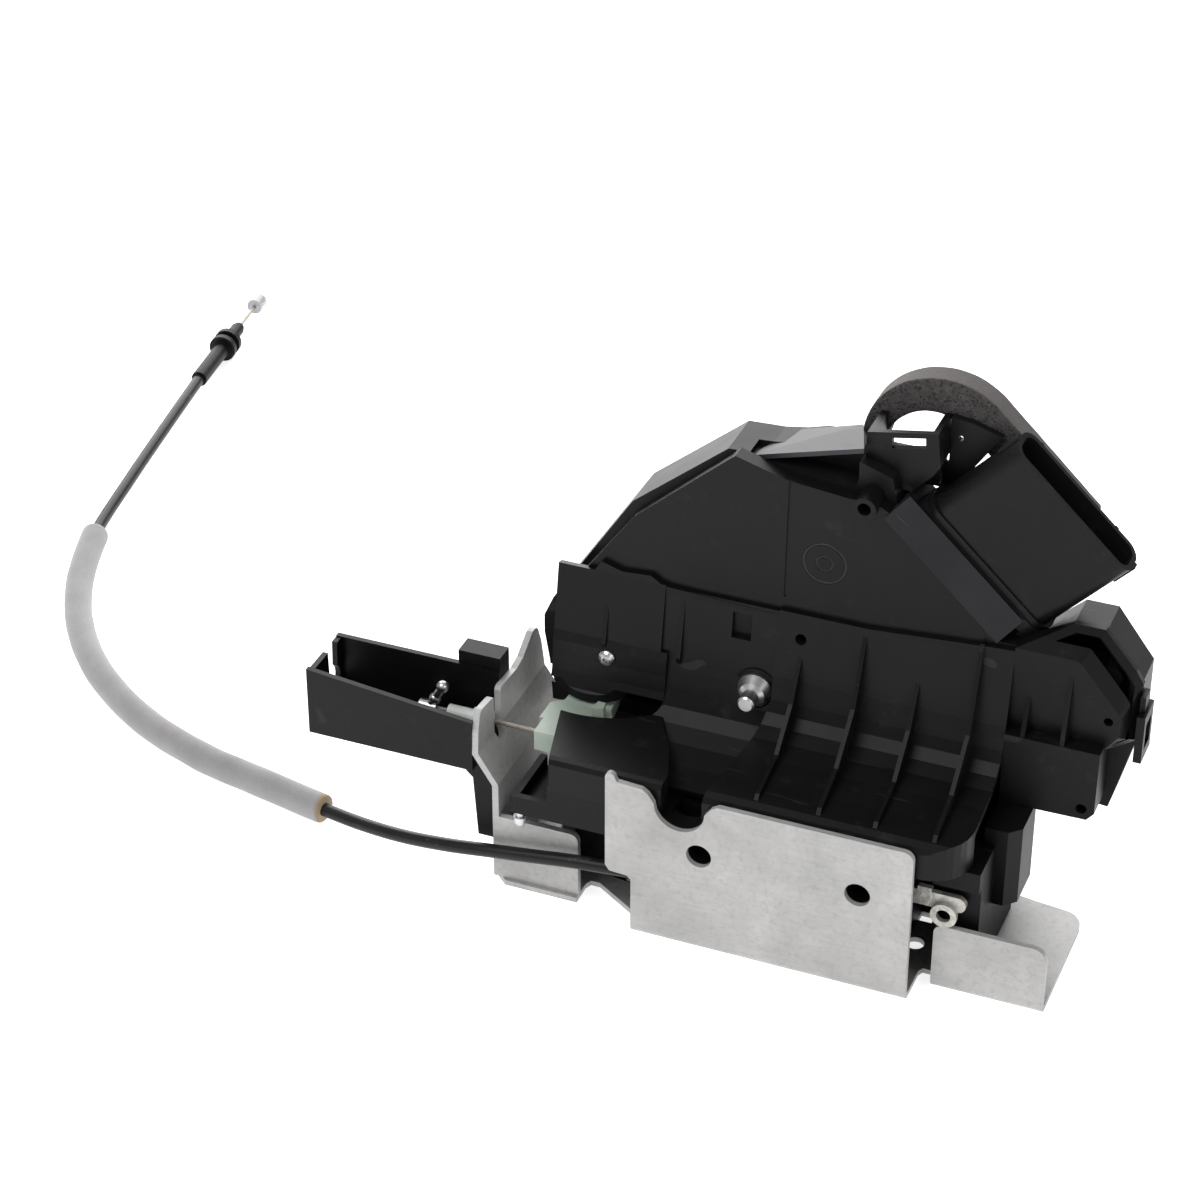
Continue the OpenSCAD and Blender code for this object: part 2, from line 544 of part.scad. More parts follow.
// Plug socket, in its own frame: x along the opening direction, z along the long side
module at_socket() translate([plug_foot[0], plug_y, plug_foot[1]]) rotate([0, -plug_turn, 0]) children();
module obround(a, b, r) {
    square([a - 2 * r, b], center = true);
    square([a, b - 2 * r], center = true);
    for (s = [-1, 1], t = [-1, 1]) translate([s * (a / 2 - r), t * (b / 2 - r)]) circle(r = r);
}
module along(x0, x1) translate([x0, 0, 0]) rotate([0, 90, 0]) linear_extrude(x1 - x0) children();
module socket_shroud() color([0.09, 0.09, 0.095]) at_socket() difference() {
    union() {
        along(foot_x, foot_x + plug_depth) obround(plug_long, plug_thick, 5.5);
        along(foot_x - 0.5, foot_x + 2) obround(plug_long + 3, plug_thick + 1.4, 6);
        // guide keys on the rim
        translate([foot_x + plug_depth - 9, -1.5, -plug_long / 2 - 1]) cube([9, 3, 3]);
        translate([foot_x + plug_depth - 9, -1.5, plug_long / 2 - 2]) cube([9, 3, 3]);
        for (z = [-17, 20]) translate([foot_x + plug_depth - 5, plug_thick / 2 - 1, z - 0.7]) cube([4.4,
            2.6, 1.4]);
    }
    along(foot_x + 10, foot_x + plug_depth + 1) obround(plug_long - 2 * plug_wall,
        plug_thick - 2 * plug_wall, 3.8);
    for (i = [0:blades - 1], s = [-1, 1])
        translate([foot_x - 1, s * 2.6 - 0.4, (i - (blades - 1) / 2) * 5 - 1.2]) cube([12, 0.8, 2.4]);
}
module socket_collar() color([0.13, 0.13, 0.135]) at_socket()
    along(seat_x, foot_x - 0.5) obround(collar_long, plug_thick + 2.5, 6.5);
module socket_blades() color([0.75, 0.72, 0.6]) at_socket()
    for (i = [0:blades - 1], s = [-1, 1])
        translate([foot_x - 0.5, s * 2.6 - 0.4, (i - (blades - 1) / 2) * 5 - 1.2]) cube([23, 0.8, 2.4]);

// Foam gasket behind the socket
gasket_c = [25, 125];
gasket_in = [-3, -2];              // middle of its inner arc, from the outer one's
module foam_gasket() color([0.2, 0.19, 0.19]) let (ro = 27.5, ri = ro - gasket_band, leg = [34, -33])
    on_y(back_y, back_y + gasket_deep) translate(gasket_c) polygon(concat(
        arc([0, 0], ro, 176, 45, 24), [ro * [cos(45), sin(45)] + leg, ri * [cos(45),
            sin(45)] + leg + gasket_in],
        arc(gasket_in, ri, 45, 172, 16)));

// Small metal pieces
module locating_stud() color([0.72, 0.72, 0.7]) union() {
    rod_y(-26, 38, 3, 48, 58);
    translate([-26, 48.5, 38]) rotate([90, 0, 0]) rotate_extrude()
        polygon([[0, 0], [collar_d / 2, 0], [collar_d / 2, 1.2], [stud_d / 2 + 1.6, 4.4], [stud_d / 2, 5.4],
                 [stud_d / 2, 10.2], [stud_d / 2 - 0.6, 10.8], [0, 10.8]]);
}
module stop_pin() color([0.75, 0.75, 0.74]) union() {
    rod_z(-97.2, 9.4, 1.6, -12, -3);
    rod_z(-97.2, 9.4, 2.4, -11, -8.6);
}
module cover_screw() color([0.7, 0.7, 0.7]) difference() {
    union() {
        rod_y(screw_at[0], screw_at[1], 1.7, screw_y, 58);
        translate([screw_at[0], screw_y, screw_at[1]]) rotate([90, 0, 0]) rotate_extrude()
            polygon([[0, 0], [3, 0], [3, 0.9], [2.3, 1.7], [1.4, 2.1], [0, 2.2]]);
    }
    for (a = [0, 60, 120]) translate([screw_at[0], screw_y - 3.4, screw_at[1]]) rotate([0, a, 0])
        box([-1.2, 0, -0.35], [1.2, 2.4, 0.35]);
}

// Release lever and pull wire
module lever_pivot() color([0.7, 0.7, 0.7]) rod_z(lever_at[0], lever_at[1], lever_pin / 2, 5, 29);
module release_lever() color([0.8, 0.86, 0.8]) difference() {
    union() {
        rod_z(lever_at[0], lever_at[1], 6.5, 14, 20);
        on_z(14, 20) translate(lever_at) polygon([[-6, -4], [6, -4], [9.5, -28], [12, -33], [10, -38], [-2,
            -40],
                                                  [-12, -41], [-12, -31], [-8, -28]]);
        // head that takes the wire, and the finger tooth in the slot
        on_z(12.4, 20.1) translate(lever_at) polygon([[-10.5, -49.5], [-1.5, -49.5], [-1.5, -34.5], [-10.5,
            -34.5]]);
        on_z(19.9, 25.5) translate(lever_at) polygon([[5.6, -36.4], [9.6, -35.6], [9, -31.8], [6.2, -31.8]]);
    }
    rod_z(lever_at[0], lever_at[1], lever_pin / 2 + run_gap, 10, 30);
    // pocket for the wire's ball, with room for the lever's swing
    translate(lever_at) box([-8.4, -48.2, 12], [-3.6, -40.6, 18.4]);
    translate(lever_at) box([-12, -47.6, 12], [-7, -41.2, 16.8]);
}
module pull_wire() color([0.6, 0.6, 0.6]) union() {
    rod_x(wire_y, wire_z, wire_d / 2, -142, -91);
    translate([-92, wire_y, wire_z]) sphere(r = 1.7);
}
module wire_barrel() color([0.7, 0.7, 0.7]) difference() {
    union() {
        rod_x(wire_y, wire_z, 2.4, -142.5, -136);
        translate([-139, wire_y, wire_z]) rotate([0, 29, 0]) {
            cylinder(r = 1.6, h = 11);
            translate([0, 0, 11]) sphere(r = 2.3);
            translate([0, 0, 4.6]) sphere(r = 2.2);
        }
    }
    rod_x(wire_y, wire_z, wire_d / 2, -142, -135);
}

// Lock mechanism behind the front plate
module catch_pivot() color([0.6, 0.6, 0.6]) rod_y(catch_at[0], catch_at[1], catch_pin / 2, 5, 19.5);
module catch() color([0.12, 0.12, 0.12]) difference() {
    union() {
        rod_y(catch_at[0], catch_at[1], 5.6, catch_y, catch_y + catch_thick);
        // arm with its hook, and the heel for the pawl
        on_y(catch_y, catch_y + catch_thick) polygon([[-25.4, -29], [-15, -30], [-12.5, -12], [-16, 6],
            [-17.6, 17.6],
            [-19.4, 19.2], [-27, 19.2], [-28.4, 18.2], [-28.2, 16.4], [-23.6, 15.6], [-22.6, 6], [-22, -12]]);
        on_y(catch_y, catch_y + catch_thick) polygon([[-20, -33], [-13, -31], [-6.6, -18.4], [-7.2, -16],
            [-9.4, -15.4],
            [-18, -20]]);
    }
    rod_y(catch_at[0], catch_at[1], catch_pin / 2 + run_gap, catch_y - 1, catch_y + catch_thick + 1);
}
module pawl_pivot() color([0.6, 0.6, 0.6]) rod_y(pawl_at[0], pawl_at[1], 3, 5, 25);
module pawl() color([0.65, 0.65, 0.64]) difference() {
    union() {
        rod_y(pawl_at[0], pawl_at[1], 7, catch_y, catch_y + catch_thick);
        on_y(catch_y, catch_y + catch_thick) polygon([[18, -29], [24, -16], [12, -12.8], [2, -11.6], [-3.2,
            -12],
                                                      [-3.6, -14], [2, -17]]);
    }
    rod_y(pawl_at[0], pawl_at[1], 3 + run_gap, catch_y - 1, catch_y + catch_thick + 1);
}
module return_spring() color([0.6, 0.6, 0.6])
    for (i = [0:2]) translate([pawl_at[0], 21.12 + 1.15 * i, pawl_at[1]]) rotate([90, 0, 0])
        rotate_extrude() translate([3.75, 0]) circle(r = 0.62, $fn = 16);

// Electric drive
// Spur gear outline with n involute teeth; turn sets where the first tooth points
function roll(rb, r) = tan(acos(rb / r)) * 180 / PI - acos(rb / r);
function gear_outline(n, turn) =
    let (rp = gear_module * n / 2, rb = rp * cos(20), ra = rp + 0.85 * gear_module,
        rf = rp - 1.15 * gear_module,
         r0 = max(rb, rf), h = 90 / n * 0.9, f = [for (k = [0:4]) let (r = r0 + (ra - r0) * k / 4)
             [r, h + roll(rb, rp) - roll(rb, r)]])
    [for (i = [0:n - 1]) let (c = turn + 360 * i / n)
        each concat([rf * [cos(c - 180 / n), sin(c - 180 / n)], rf * [cos(c - f[0][1]), sin(c - f[0][1])]],
            [for (k = [0:4]) f[k][0] * [cos(c - f[k][1]), sin(c - f[k][1])]],
            [for (k = [4:-1:0]) f[k][0] * [cos(c + f[k][1]), sin(c + f[k][1])]],
            [rf * [cos(c + f[0][1]), sin(c + f[0][1])]])];
module drive_motor() color([0.7, 0.7, 0.72]) difference() {
    union() {
        rod_y(pinion_at[0], pinion_at[1], motor_d / 2, 67.6, back_y - wall);
        rod_y(pinion_at[0], pinion_at[1], 3, 67.2, 68);
    }
    rod_y(pinion_at[0], pinion_at[1], 1.5 + run_gap, 66, 74);
}
module drive_pinion() color([0.8, 0.75, 0.5]) union() {
    on_y(62.6, 66.8) translate(pinion_at) polygon(gear_outline(pinion_teeth, 180 / pinion_teeth));
    rod_y(pinion_at[0], pinion_at[1], 1.5, 62, 73.5);
}
module drive_gear() color([0.9, 0.9, 0.85]) difference() {
    union() {
        on_y(gear_y, gear_y + 3.6) translate(gear_at) polygon(gear_outline(gear_teeth, 180));
        rod_y(gear_at[0], gear_at[1], 5, gear_y - 1, gear_y + 4.1);
        rod_y(gear_at[0] + 9, gear_at[1], 2, gear_y - 2.2, gear_y + 0.5);
    }
    rod_y(gear_at[0], gear_at[1], 2.5 + run_gap, gear_y - 3, gear_y + 5);
}
module gear_pin() color([0.7, 0.7, 0.72]) rod_y(gear_at[0], gear_at[1], 2.5, gear_y - 2, back_y - 4);
module circuit_carrier() color([0.1, 0.25, 0.15]) box([22, 76, 44], [62.6, back_y - wall, 64]);
module position_switches() color([0.1, 0.1, 0.1]) union() {
    for (x = [27, 39.5, 52]) {
        box([x, 70, 54], [x + 10, 76, 61]);
        box([x + 2, 69, 56], [x + 5, 70.1, 59]);
    }
}

// Pull link at the right end
module link_slide() color([0.75, 0.74, 0.68]) union() {
    box([34, 12, -7], [59, 14, -1]);
    rod_y(59, -4, 3, 12, 14);
    box([45.2, 12, -4.5], [50, 14, 0.4]);
}
module link_ring() color([0.75, 0.74, 0.68]) difference() {
    rod_y(55, -8.4, 4.6, 10.2, 12);
    rod_y(55, -8.4, 2.5, 9, 13);
}

// Pull cable
module cable_gland() color([0.08, 0.08, 0.08]) rod_x(7.5, -19.5, 3.4, -55.6, -44);

// Places that the cable's middle passes, from the gland to the far fitting
route = [[-56, 7.5, -19.5], [-66, 6.6, -19.6], [-78, 5.8, -20.2], [-93, 5.4, -22], [-108, 5.6, -24.2],
         [-124, 7, -27.4], [-142, 10, -31], [-160, 14, -33.6], [-178, 18, -34.5], [-207, 24.3, -34.5],
         [-236, 31, -34.5], [-267, 44, -34.5], [-296, 64.5, -34.5], [-319, 90, -34.5], [-336, 120, -34.5],
         [-347.4, 152.5, -34.5], [-355, 195, -34.3], [-362, 240, -34.1], [-368.3, 282.5, -34]];
tip_dir = unit([-6, 50.6, 0]);
// Smooth curve through the places, n steps between neighbours
function bez(a, b, c, d, t) = 0.5 * ((2 * b) + (c - a) * t + (2 * a - 5 * b + 4 * c - d) * t * t
                                     + (3 * b - a - 3 * c + d) * t * t * t);
function smooth(p, i0, i1, n) = concat(
    [for (i = [i0:i1 - 1], k = [0:n - 1])
        bez(p[max(i - 1, 0)], p[i], p[i + 1], p[min(i + 2, len(p) - 1)], k / n)], [p[i1]]);
function ring(p, i, r, s) =
    let (n = len(p), t = unit(p[min(i + 1, n - 1)] - p[max(i - 1, 0)]), u = unit(cross(t, [0, 0, 1])),
         v = cross(u, t)) [for (k = [0:s - 1]) p[i] + r * (cos(360 * k / s) * u + sin(360 * k / s) * v)];
module tube(p, r, s = 12) {
    n = len(p);
    polyhedron(points = [for (i = [0:n - 1]) each ring(p, i, r, s)],
        faces = concat([[for (k = [0:s - 1]) k]], [[for (k = [s - 1:-1:0]) (n - 1) * s + k]],
            [for (i = [0:n - 2], k = [0:s - 1])
                each [[i * s + k, (i + 1) * s + k, i * s + (k + 1) % s],
                      [i * s + (k + 1) % s, (i + 1) * s + k, (i + 1) * s + (k + 1) % s]]]));
}
// The same with a bore of radius q
module sleeve(p, r, q, s = 12) {
    n = len(p);
    m = n * s;
    polyhedron(points = concat([for (i = [0:n - 1]) each ring(p, i, r, s)], [for (i = [0:n - 1])
        each ring(p, i, q, s)]),
        faces = concat(
            [for (i = [0:n - 2], k = [0:s - 1]) let (a = i * s + k, b = i * s + (k + 1) % s)
                each [[a, a + s, b], [b, a + s, b + s], [m + a, m + b, m + a + s], [m + b, m + b + s,
                    m + a + s]]],
            [for (k = [0:s - 1]) let (b = (k + 1) % s, e = (n - 1) * s)
                each [[k, b, m + k], [b, m + b, m + k], [e + k, m + e + k, e + b], [e + b, m + e + k,
                    m + e + b]]]));
}
module cable_casing() color([0.07, 0.07, 0.07]) tube(smooth(route, 0, len(route) - 1, 4), casing_d / 2);
module cable_foam() color([0.62, 0.62, 0.63]) sleeve(smooth(route, 8, 15, 4), foam_d / 2, casing_d / 2);
module at_tip() translate(route[len(route) - 1]) rotate([0, 0, atan2(tip_dir[1], tip_dir[0])]) rotate([0,
    90, 0]) children();
module cable_ferrule() color([0.07, 0.07, 0.07]) at_tip() union() {
    cylinder(d = 7, h = 27.5);
    translate([0, 0, 27]) cylinder(d = 8.4, h = 13);
    for (z = [28.5, 34.5]) translate([0, 0, z]) cylinder(d = 12, h = 2.6);
    translate([0, 0, 39]) cylinder(d = 6, h = 9);
    translate([0, 0, 46.5]) cylinder(d = 4.8, h = 3.5);
}
module cable_wire() color([0.6, 0.6, 0.6]) at_tip() translate([0, 0, 50]) cylinder(d = wire_d, h = 20);
module cable_nipple() color([0.8, 0.82, 0.84]) at_tip() translate([0, 0, 70]) cylinder(d = nipple_d, h = 7);

frame_plate();
frame_base();
cable_bracket();
cable_channel();
wire_guide();
front_cover();
lever_shelf();
lock_flare();
rear_shell();
lock_case();
top_clip();
side_clip();
socket_shroud();
socket_collar();
socket_blades();
foam_gasket();
locating_stud();
cover_screw();
shell_screws();
lever_pivot();
release_lever();
pull_wire();
wire_barrel();
catch_pivot();
catch();
pawl_pivot();
pawl();
return_spring();
drive_motor();
drive_pinion();
drive_gear();
gear_pin();
circuit_carrier();
position_switches();
link_slide();
link_ring();
cable_gland();
cable_casing();
cable_foam();
cable_ferrule();
cable_wire();
cable_nipple();
stop_pin();
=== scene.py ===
"""Looks of a tailgate latch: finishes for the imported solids, a sheathed pull cable with its foam
sleeve, twisted wires, a foam gasket behind the plug socket, a lower crown, arm and lip of the rear
shell, a slanted strip beside the socket, and a plain studio around it.
All places are in metres, in the frame of the solids, where nothing else is said."""
import json
import math

import bpy
import numpy as np
import bmesh
from bpy.props import FloatProperty, FloatVectorProperty, PointerProperty
from mathutils import Matrix, Vector


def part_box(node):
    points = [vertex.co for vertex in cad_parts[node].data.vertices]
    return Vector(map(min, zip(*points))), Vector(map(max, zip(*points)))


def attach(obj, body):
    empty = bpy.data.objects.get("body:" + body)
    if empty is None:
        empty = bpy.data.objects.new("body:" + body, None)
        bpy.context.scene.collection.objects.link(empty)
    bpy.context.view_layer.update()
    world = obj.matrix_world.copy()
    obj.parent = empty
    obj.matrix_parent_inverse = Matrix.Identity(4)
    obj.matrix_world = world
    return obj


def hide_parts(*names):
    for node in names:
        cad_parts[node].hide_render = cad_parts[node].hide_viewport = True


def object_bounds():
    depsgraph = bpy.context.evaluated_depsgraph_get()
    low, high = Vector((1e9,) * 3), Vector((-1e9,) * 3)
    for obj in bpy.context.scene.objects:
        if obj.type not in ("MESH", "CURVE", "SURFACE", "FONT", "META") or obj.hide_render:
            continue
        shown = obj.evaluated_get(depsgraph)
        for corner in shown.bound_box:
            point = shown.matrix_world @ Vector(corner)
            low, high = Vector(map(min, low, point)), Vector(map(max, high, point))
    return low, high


bl_info = {
    "name": "Tailgate Latch",
    "version": (1, 0, 0),
    "blender": (4, 5, 0),
    "location": "View3D > Sidebar > Latch",
    "description": "Finishes, cable, foam pieces and studio of a tailgate latch",
    "category": "Object",
}

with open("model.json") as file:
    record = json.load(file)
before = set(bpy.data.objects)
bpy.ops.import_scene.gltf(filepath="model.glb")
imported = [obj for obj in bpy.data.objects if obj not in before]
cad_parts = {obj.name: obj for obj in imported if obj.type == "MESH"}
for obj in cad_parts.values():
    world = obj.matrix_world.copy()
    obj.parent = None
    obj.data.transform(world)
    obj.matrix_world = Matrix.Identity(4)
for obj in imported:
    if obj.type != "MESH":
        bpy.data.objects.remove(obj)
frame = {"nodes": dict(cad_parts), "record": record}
CAD_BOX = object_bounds()

# Places that the cable's middle passes, from the gland to the far fitting
ROUTE = np.array([
    (-56, 7.5, -19.5), (-66, 6.6, -19.6), (-78, 5.8, -20.2), (-93, 5.4, -22), (-108, 5.6, -24.2),
    (-124, 7, -27.4), (-142, 10, -31), (-160, 14, -33.6), (-178, 18, -34.5), (-207, 24.3, -34.5),
    (-236, 31, -34.5), (-267, 44, -34.5), (-296, 64.5, -34.5), (-319, 90, -34.5), (-336, 120, -34.5),
    (-347.4, 152.5, -34.5), (-355, 195, -34.3), (-362, 240, -34.1), (-368.3, 282.5, -34)]) / 1000
SLEEVE_FROM, SLEEVE_TO = 8, 15
SLEEVE_LIMIT = 0.0055
TIP_DIRECTION = np.array((-6, 50.6, 0)) / math.hypot(6, 50.6)
# Start of the bare wire past the end of the route, and its length
TIP_START, TIP_LONG = 0.0495, 0.021
# Ball on the pull wire: its radius, its middle from the wire's right end, and how far the strands stop short
BALL_RADIUS, BALL_BACK, STRANDS_BACK = 0.00168, 0.0017, 0.0015
# X and Z of the gasket's outer arc and of its inner arc, and the straight leg's run from each
GASKET_CENTRE = np.array((0.025, 0.125))
GASKET_INNER = GASKET_CENTRE + (-0.003, -0.002)
GASKET_LEG = np.array((0.034, -0.033))
# Where the outer and inner arcs begin and both end, degrees, and how square the band's section is
GASKET_STARTS, GASKET_STOP = (176, 172), 45
SECTION_POWER = 14
# Depth behind which the gasket's face turns into its paler band, and where the glue on the sleeve begins
BAND_FROM = 0.0812
GLUE_FROM = -0.1765
# Slanted strip beside the socket: foot of the socket's axis, its turn, the strip's outline and its two ends
SOCKET_FOOT = (0.0415, 0.09)
SOCKET_TURN = math.radians(46.5)
STRIP_OUTLINE = ((-1.8, 52.8), (8.4, 57.6), (3.6, 57.6), (1.1, 59.9))
STRIP_ENDS = (-0.0209, 0.0352)
# The shell's top in the solids and as it is lowered here, both X and Z in mm, and the depth that is squeezed
SOLID_TOP = np.array(((-76, 95), (-38, 131), (-29, 133), (-21, 131.8), (-14, 129.5), (2, 128.5)))
LOW_TOP = np.array(((-76, 95), (-42, 122.9), (-33, 123.4), (-24.6, 124), (-14, 127.2), (-9, 128.5),
                    (2, 128.5)))
SQUEEZED = 6
# The crown's left corner moves left by CORNER_MOVE. The move grows with Z and to the left: start, run in mm
CORNER_MOVE, CORNER_Z, CORNER_X = 0.004, (122, 4), (-30, 8)
# Arm between the shell's crown and the clip: top corners in mm, and its thickness
ARM = np.array(((-34.5, 60.6, 121.9), (4.5, 60.6, 132.9), (-1.5, 78.5, 131.2), (-25, 78.5, 124.1)))
ARM_THICK = 1.8
# Lip under the shell's joint, between the lock case and the lever's post: two corners in mm
LIP = ((-86, 58.4, -2), (-59.2, 59.9, 8))
# Middle of the date dial, X and Z, and its radius
DIAL = (-0.0051, 0.0901, 0.0074)
# Each lamp's name, place, size and power, and the camera's place
LAMPS = (("key", (-0.45, -0.7, 1.2), 0.8, 9), ("fill", (1.1, -0.5, 0.7), 0.7, 3),
         ("rim", (-0.6, 1.2, 0.72), 1.5, 34))
CAMERA_PLACE = (0.2721, -0.8311, 0.6762)
FLOOR_HALF = 6.0


class LatchSizes(bpy.types.PropertyGroup):
    """Sizes of the pieces that aren't in the solids"""
    casing: FloatProperty(name="Casing", description="Diameter of the cable's casing", default=0.005,
                          unit="LENGTH")
    foam: FloatProperty(name="Foam sleeve", description="Outside diameter of the foam sleeve", default=0.0108,
                        unit="LENGTH")
    wire: FloatProperty(name="Wire", description="Diameter of the twisted wires", default=0.0016,
                        unit="LENGTH")
    lay: FloatProperty(name="Lay", description="Length of one turn of a wire's strands", default=0.009,
                       unit="LENGTH")
    gasket_radius: FloatProperty(name="Gasket radius", description="Outer radius of the gasket's arch",
                                 default=0.0275, unit="LENGTH")
    gasket_band: FloatProperty(name="Gasket band", description="Width of the gasket's band", default=0.011,
                               unit="LENGTH")
    gasket_deep: FloatProperty(name="Gasket depth", description="Thickness of the gasket", default=0.0098,
                               unit="LENGTH")


class LatchColours(bpy.types.PropertyGroup):
    """Colours of the finishes"""
    zinc: FloatVectorProperty(name="Zinc", description="Zinc plated sheet", subtype="COLOR",
                              default=(0.46, 0.455, 0.45))
    plastic: FloatVectorProperty(name="Cover plastic", description="Black moulded cover", subtype="COLOR",
                                 default=(0.0055, 0.0055, 0.0062))
    nylon: FloatVectorProperty(name="Lever nylon", description="Pale green lever", subtype="COLOR",
                               default=(0.36, 0.43, 0.365))
    gasket: FloatVectorProperty(name="Gasket foam", description="Open-cell foam", subtype="COLOR",
                                default=(0.045, 0.042, 0.0415))
    sleeve: FloatVectorProperty(name="Sleeve foam", description="Grey foam of the cable's sleeve",
                                subtype="COLOR", default=(0.3, 0.295, 0.302))
    grease: FloatVectorProperty(name="Grease", description="Grease on the pull link", subtype="COLOR",
                                default=(0.42, 0.4, 0.34))


class StudioSettings(bpy.types.PropertyGroup):
    """Light and camera"""
    light: FloatProperty(name="Light", description="Strength of the surrounding light", default=0.35)
    lens: FloatProperty(name="Lens", description="Focal length of the camera, mm", default=99.0)
    bearing: FloatProperty(name="Bearing", description="Camera's turn round the object", subtype="ANGLE",
                           default=math.radians(22))
    height: FloatProperty(name="Height", description="Camera's angle above the floor", subtype="ANGLE",
                          default=math.radians(33))


def sizes():
    return bpy.context.scene.latch_sizes


def colours():
    return bpy.context.scene.latch_colours


class Value:
    """A shader socket that works in expressions: each operator adds a Math node."""

    def __init__(self, tree, socket):
        self.tree, self.socket = tree, socket

    def _math(self, operation, *terms, clamp=False):
        node = self.tree.nodes.new("ShaderNodeMath")
        node.operation, node.use_clamp = operation, clamp
        for slot, term in zip(node.inputs, terms):
            if isinstance(term, Value):
                self.tree.links.new(term.socket, slot)
            else:
                slot.default_value = float(term)
        return Value(self.tree, node.outputs[0])

    def __add__(self, other):
        return self._math("ADD", self, other)

    def __radd__(self, other):
        return self._math("ADD", other, self)

    def __sub__(self, other):
        return self._math("SUBTRACT", self, other)

    def __rsub__(self, other):
        return self._math("SUBTRACT", other, self)

    def __mul__(self, other):
        return self._math("MULTIPLY", self, other)

    def __truediv__(self, other):
        return self._math("DIVIDE", self, other)

    def __pow__(self, power):
        return self._math("POWER", self, power)

    def above(self, edge, soft):
        """0 below the edge and 1 above it, with a slope soft wide between."""
        return self._math("MULTIPLY_ADD", self, 1 / soft, -edge / soft + 0.5, clamp=True)

    def size(self):
        return self._math("ABSOLUTE", self)


class Finish:
    """One material. node() makes every node that isn't plain maths."""

    def __init__(self, name):
        self.material = bpy.data.materials.new(name)
        self.material.use_nodes = True
        self.tree = self.material.node_tree
        self.tree.nodes.clear()
        out = self.tree.nodes.new("ShaderNodeOutputMaterial")
        self.shader = self.tree.nodes.new("ShaderNodeBsdfPrincipled")
        self.tree.links.new(self.shader.outputs[0], out.inputs[0])
        self.place = self.node("ShaderNodeTexCoord", out="Object")

    def node(self, kind, settings=None, inputs=None, out=0):
        """Makes a node, sets its settings, then fills its sockets with numbers, colours or links."""
        made = self.tree.nodes.new(kind)
        for key, value in (settings or {}).items():
            if key == "stops":
                ramp = made.color_ramp
                while len(ramp.elements) < len(value):
                    ramp.elements.new(0.5)
                for stop, (at, shade) in zip(ramp.elements, value):
                    stop.position = at
                    stop.color = shade if isinstance(shade, tuple) else (shade, shade, shade, 1)
            else:
                setattr(made, key, value)
        for key, value in (inputs or {}).items():
            if isinstance(value, Value):
                self.tree.links.new(value.socket, made.inputs[key])
            else:
                made.inputs[key].default_value = value
        return Value(self.tree, made.outputs[out])

    def moved(self, scale=(1, 1, 1), turn=(0, 0, 0), shift=(0, 0, 0)):
        return self.node("ShaderNodeMapping", inputs={"Vector": self.place, "Scale": scale, "Rotation": turn,
                                                      "Location": shift})

    def noise(self, scale, detail=4.0, rough=0.55, place=None, warp=0.0):
        return self.node("ShaderNodeTexNoise", inputs={
            "Vector": place or self.place, "Scale": scale, "Detail": detail, "Roughness": rough,
            "Distortion": warp}, out="Fac")

    def cells(self, scale, place=None, feature="F1"):
        return self.node("ShaderNodeTexVoronoi", {"feature": feature},
                         {"Vector": place or self.place, "Scale": scale}, out="Distance")

    def mix(self, share, a, b):
        """Colour a where share is 0 and b where it is 1."""
        made = self.tree.nodes.new("ShaderNodeMix")
        made.data_type = "RGBA"
        for slot, value in ((made.inputs[0], share), (made.inputs[6], a), (made.inputs[7], b)):
            if isinstance(value, Value):
                self.tree.links.new(value.socket, slot)
            elif slot is made.inputs[0]:
                slot.default_value = value
            else:
                slot.default_value = (*value[:3], 1)
        return Value(self.tree, made.outputs[2])

    def bump(self, height, strength, distance, below=None):
        inputs = {"Height": height, "Strength": strength, "Distance": distance}
        if below is not None:
            inputs["Normal"] = below
        return self.node("ShaderNodeBump", inputs=inputs)

    def set(self, **sockets):
        names = {"colour": "Base Color", "rough": "Roughness", "metal": "Metallic", "coat": "Coat Weight",
                 "normal": "Normal", "sheen": "Sheen Weight", "sheen_rough": "Sheen Roughness",
                 "specular": "Specular IOR Level", "inside": "Subsurface Weight",
                 "inside_scale": "Subsurface Scale", "glow": "Emission Color",
                 "glow_strength": "Emission Strength"}
        for key, value in sockets.items():
            slot = self.shader.inputs[names[key]]
            if isinstance(value, Value):
                self.tree.links.new(value.socket, slot)
            elif key in ("colour", "glow"):
                slot.default_value = (*value[:3], 1)
            else:
                slot.default_value = value
        return self.material


def shade(colour, k):
    return tuple(min(1.0, c * k) for c in colour[:3])


def zinc_sheet():
    """Zinc plated sheet: cloudy matt grey with darker stains, faint rolling lines and fine pits."""
    f = Finish("zinc_sheet")
    base = tuple(colours().zinc)
    clouds = f.noise(38, 6, 0.62, warp=0.6)
    fine = f.noise(420, 5, 0.7)
    rolled = f.noise(90, 3, 0.6, place=f.moved((1, 1, 9)))
    tone = f.mix((clouds * 0.75 + rolled * 0.25).above(0.5, 0.42), shade(base, 0.72), shade(base, 1.14))
    tone = f.mix(fine.above(0.6, 0.2) * 0.45, tone, shade(base, 0.55))
    stain = f.noise(14, 5, 0.6, place=f.moved(shift=(0.31, 0.17, 0.05))).above(0.63, 0.12)
    tone = f.mix(stain * 0.5, tone, (base[0] * 0.6, base[1] * 0.58, base[2] * 0.53))
    return f.set(colour=tone, metal=0.25, rough=0.5 + clouds * 0.16 - fine * 0.06,
                 normal=f.bump(fine * 0.6 + clouds * 0.8, 0.16, 0.0002))


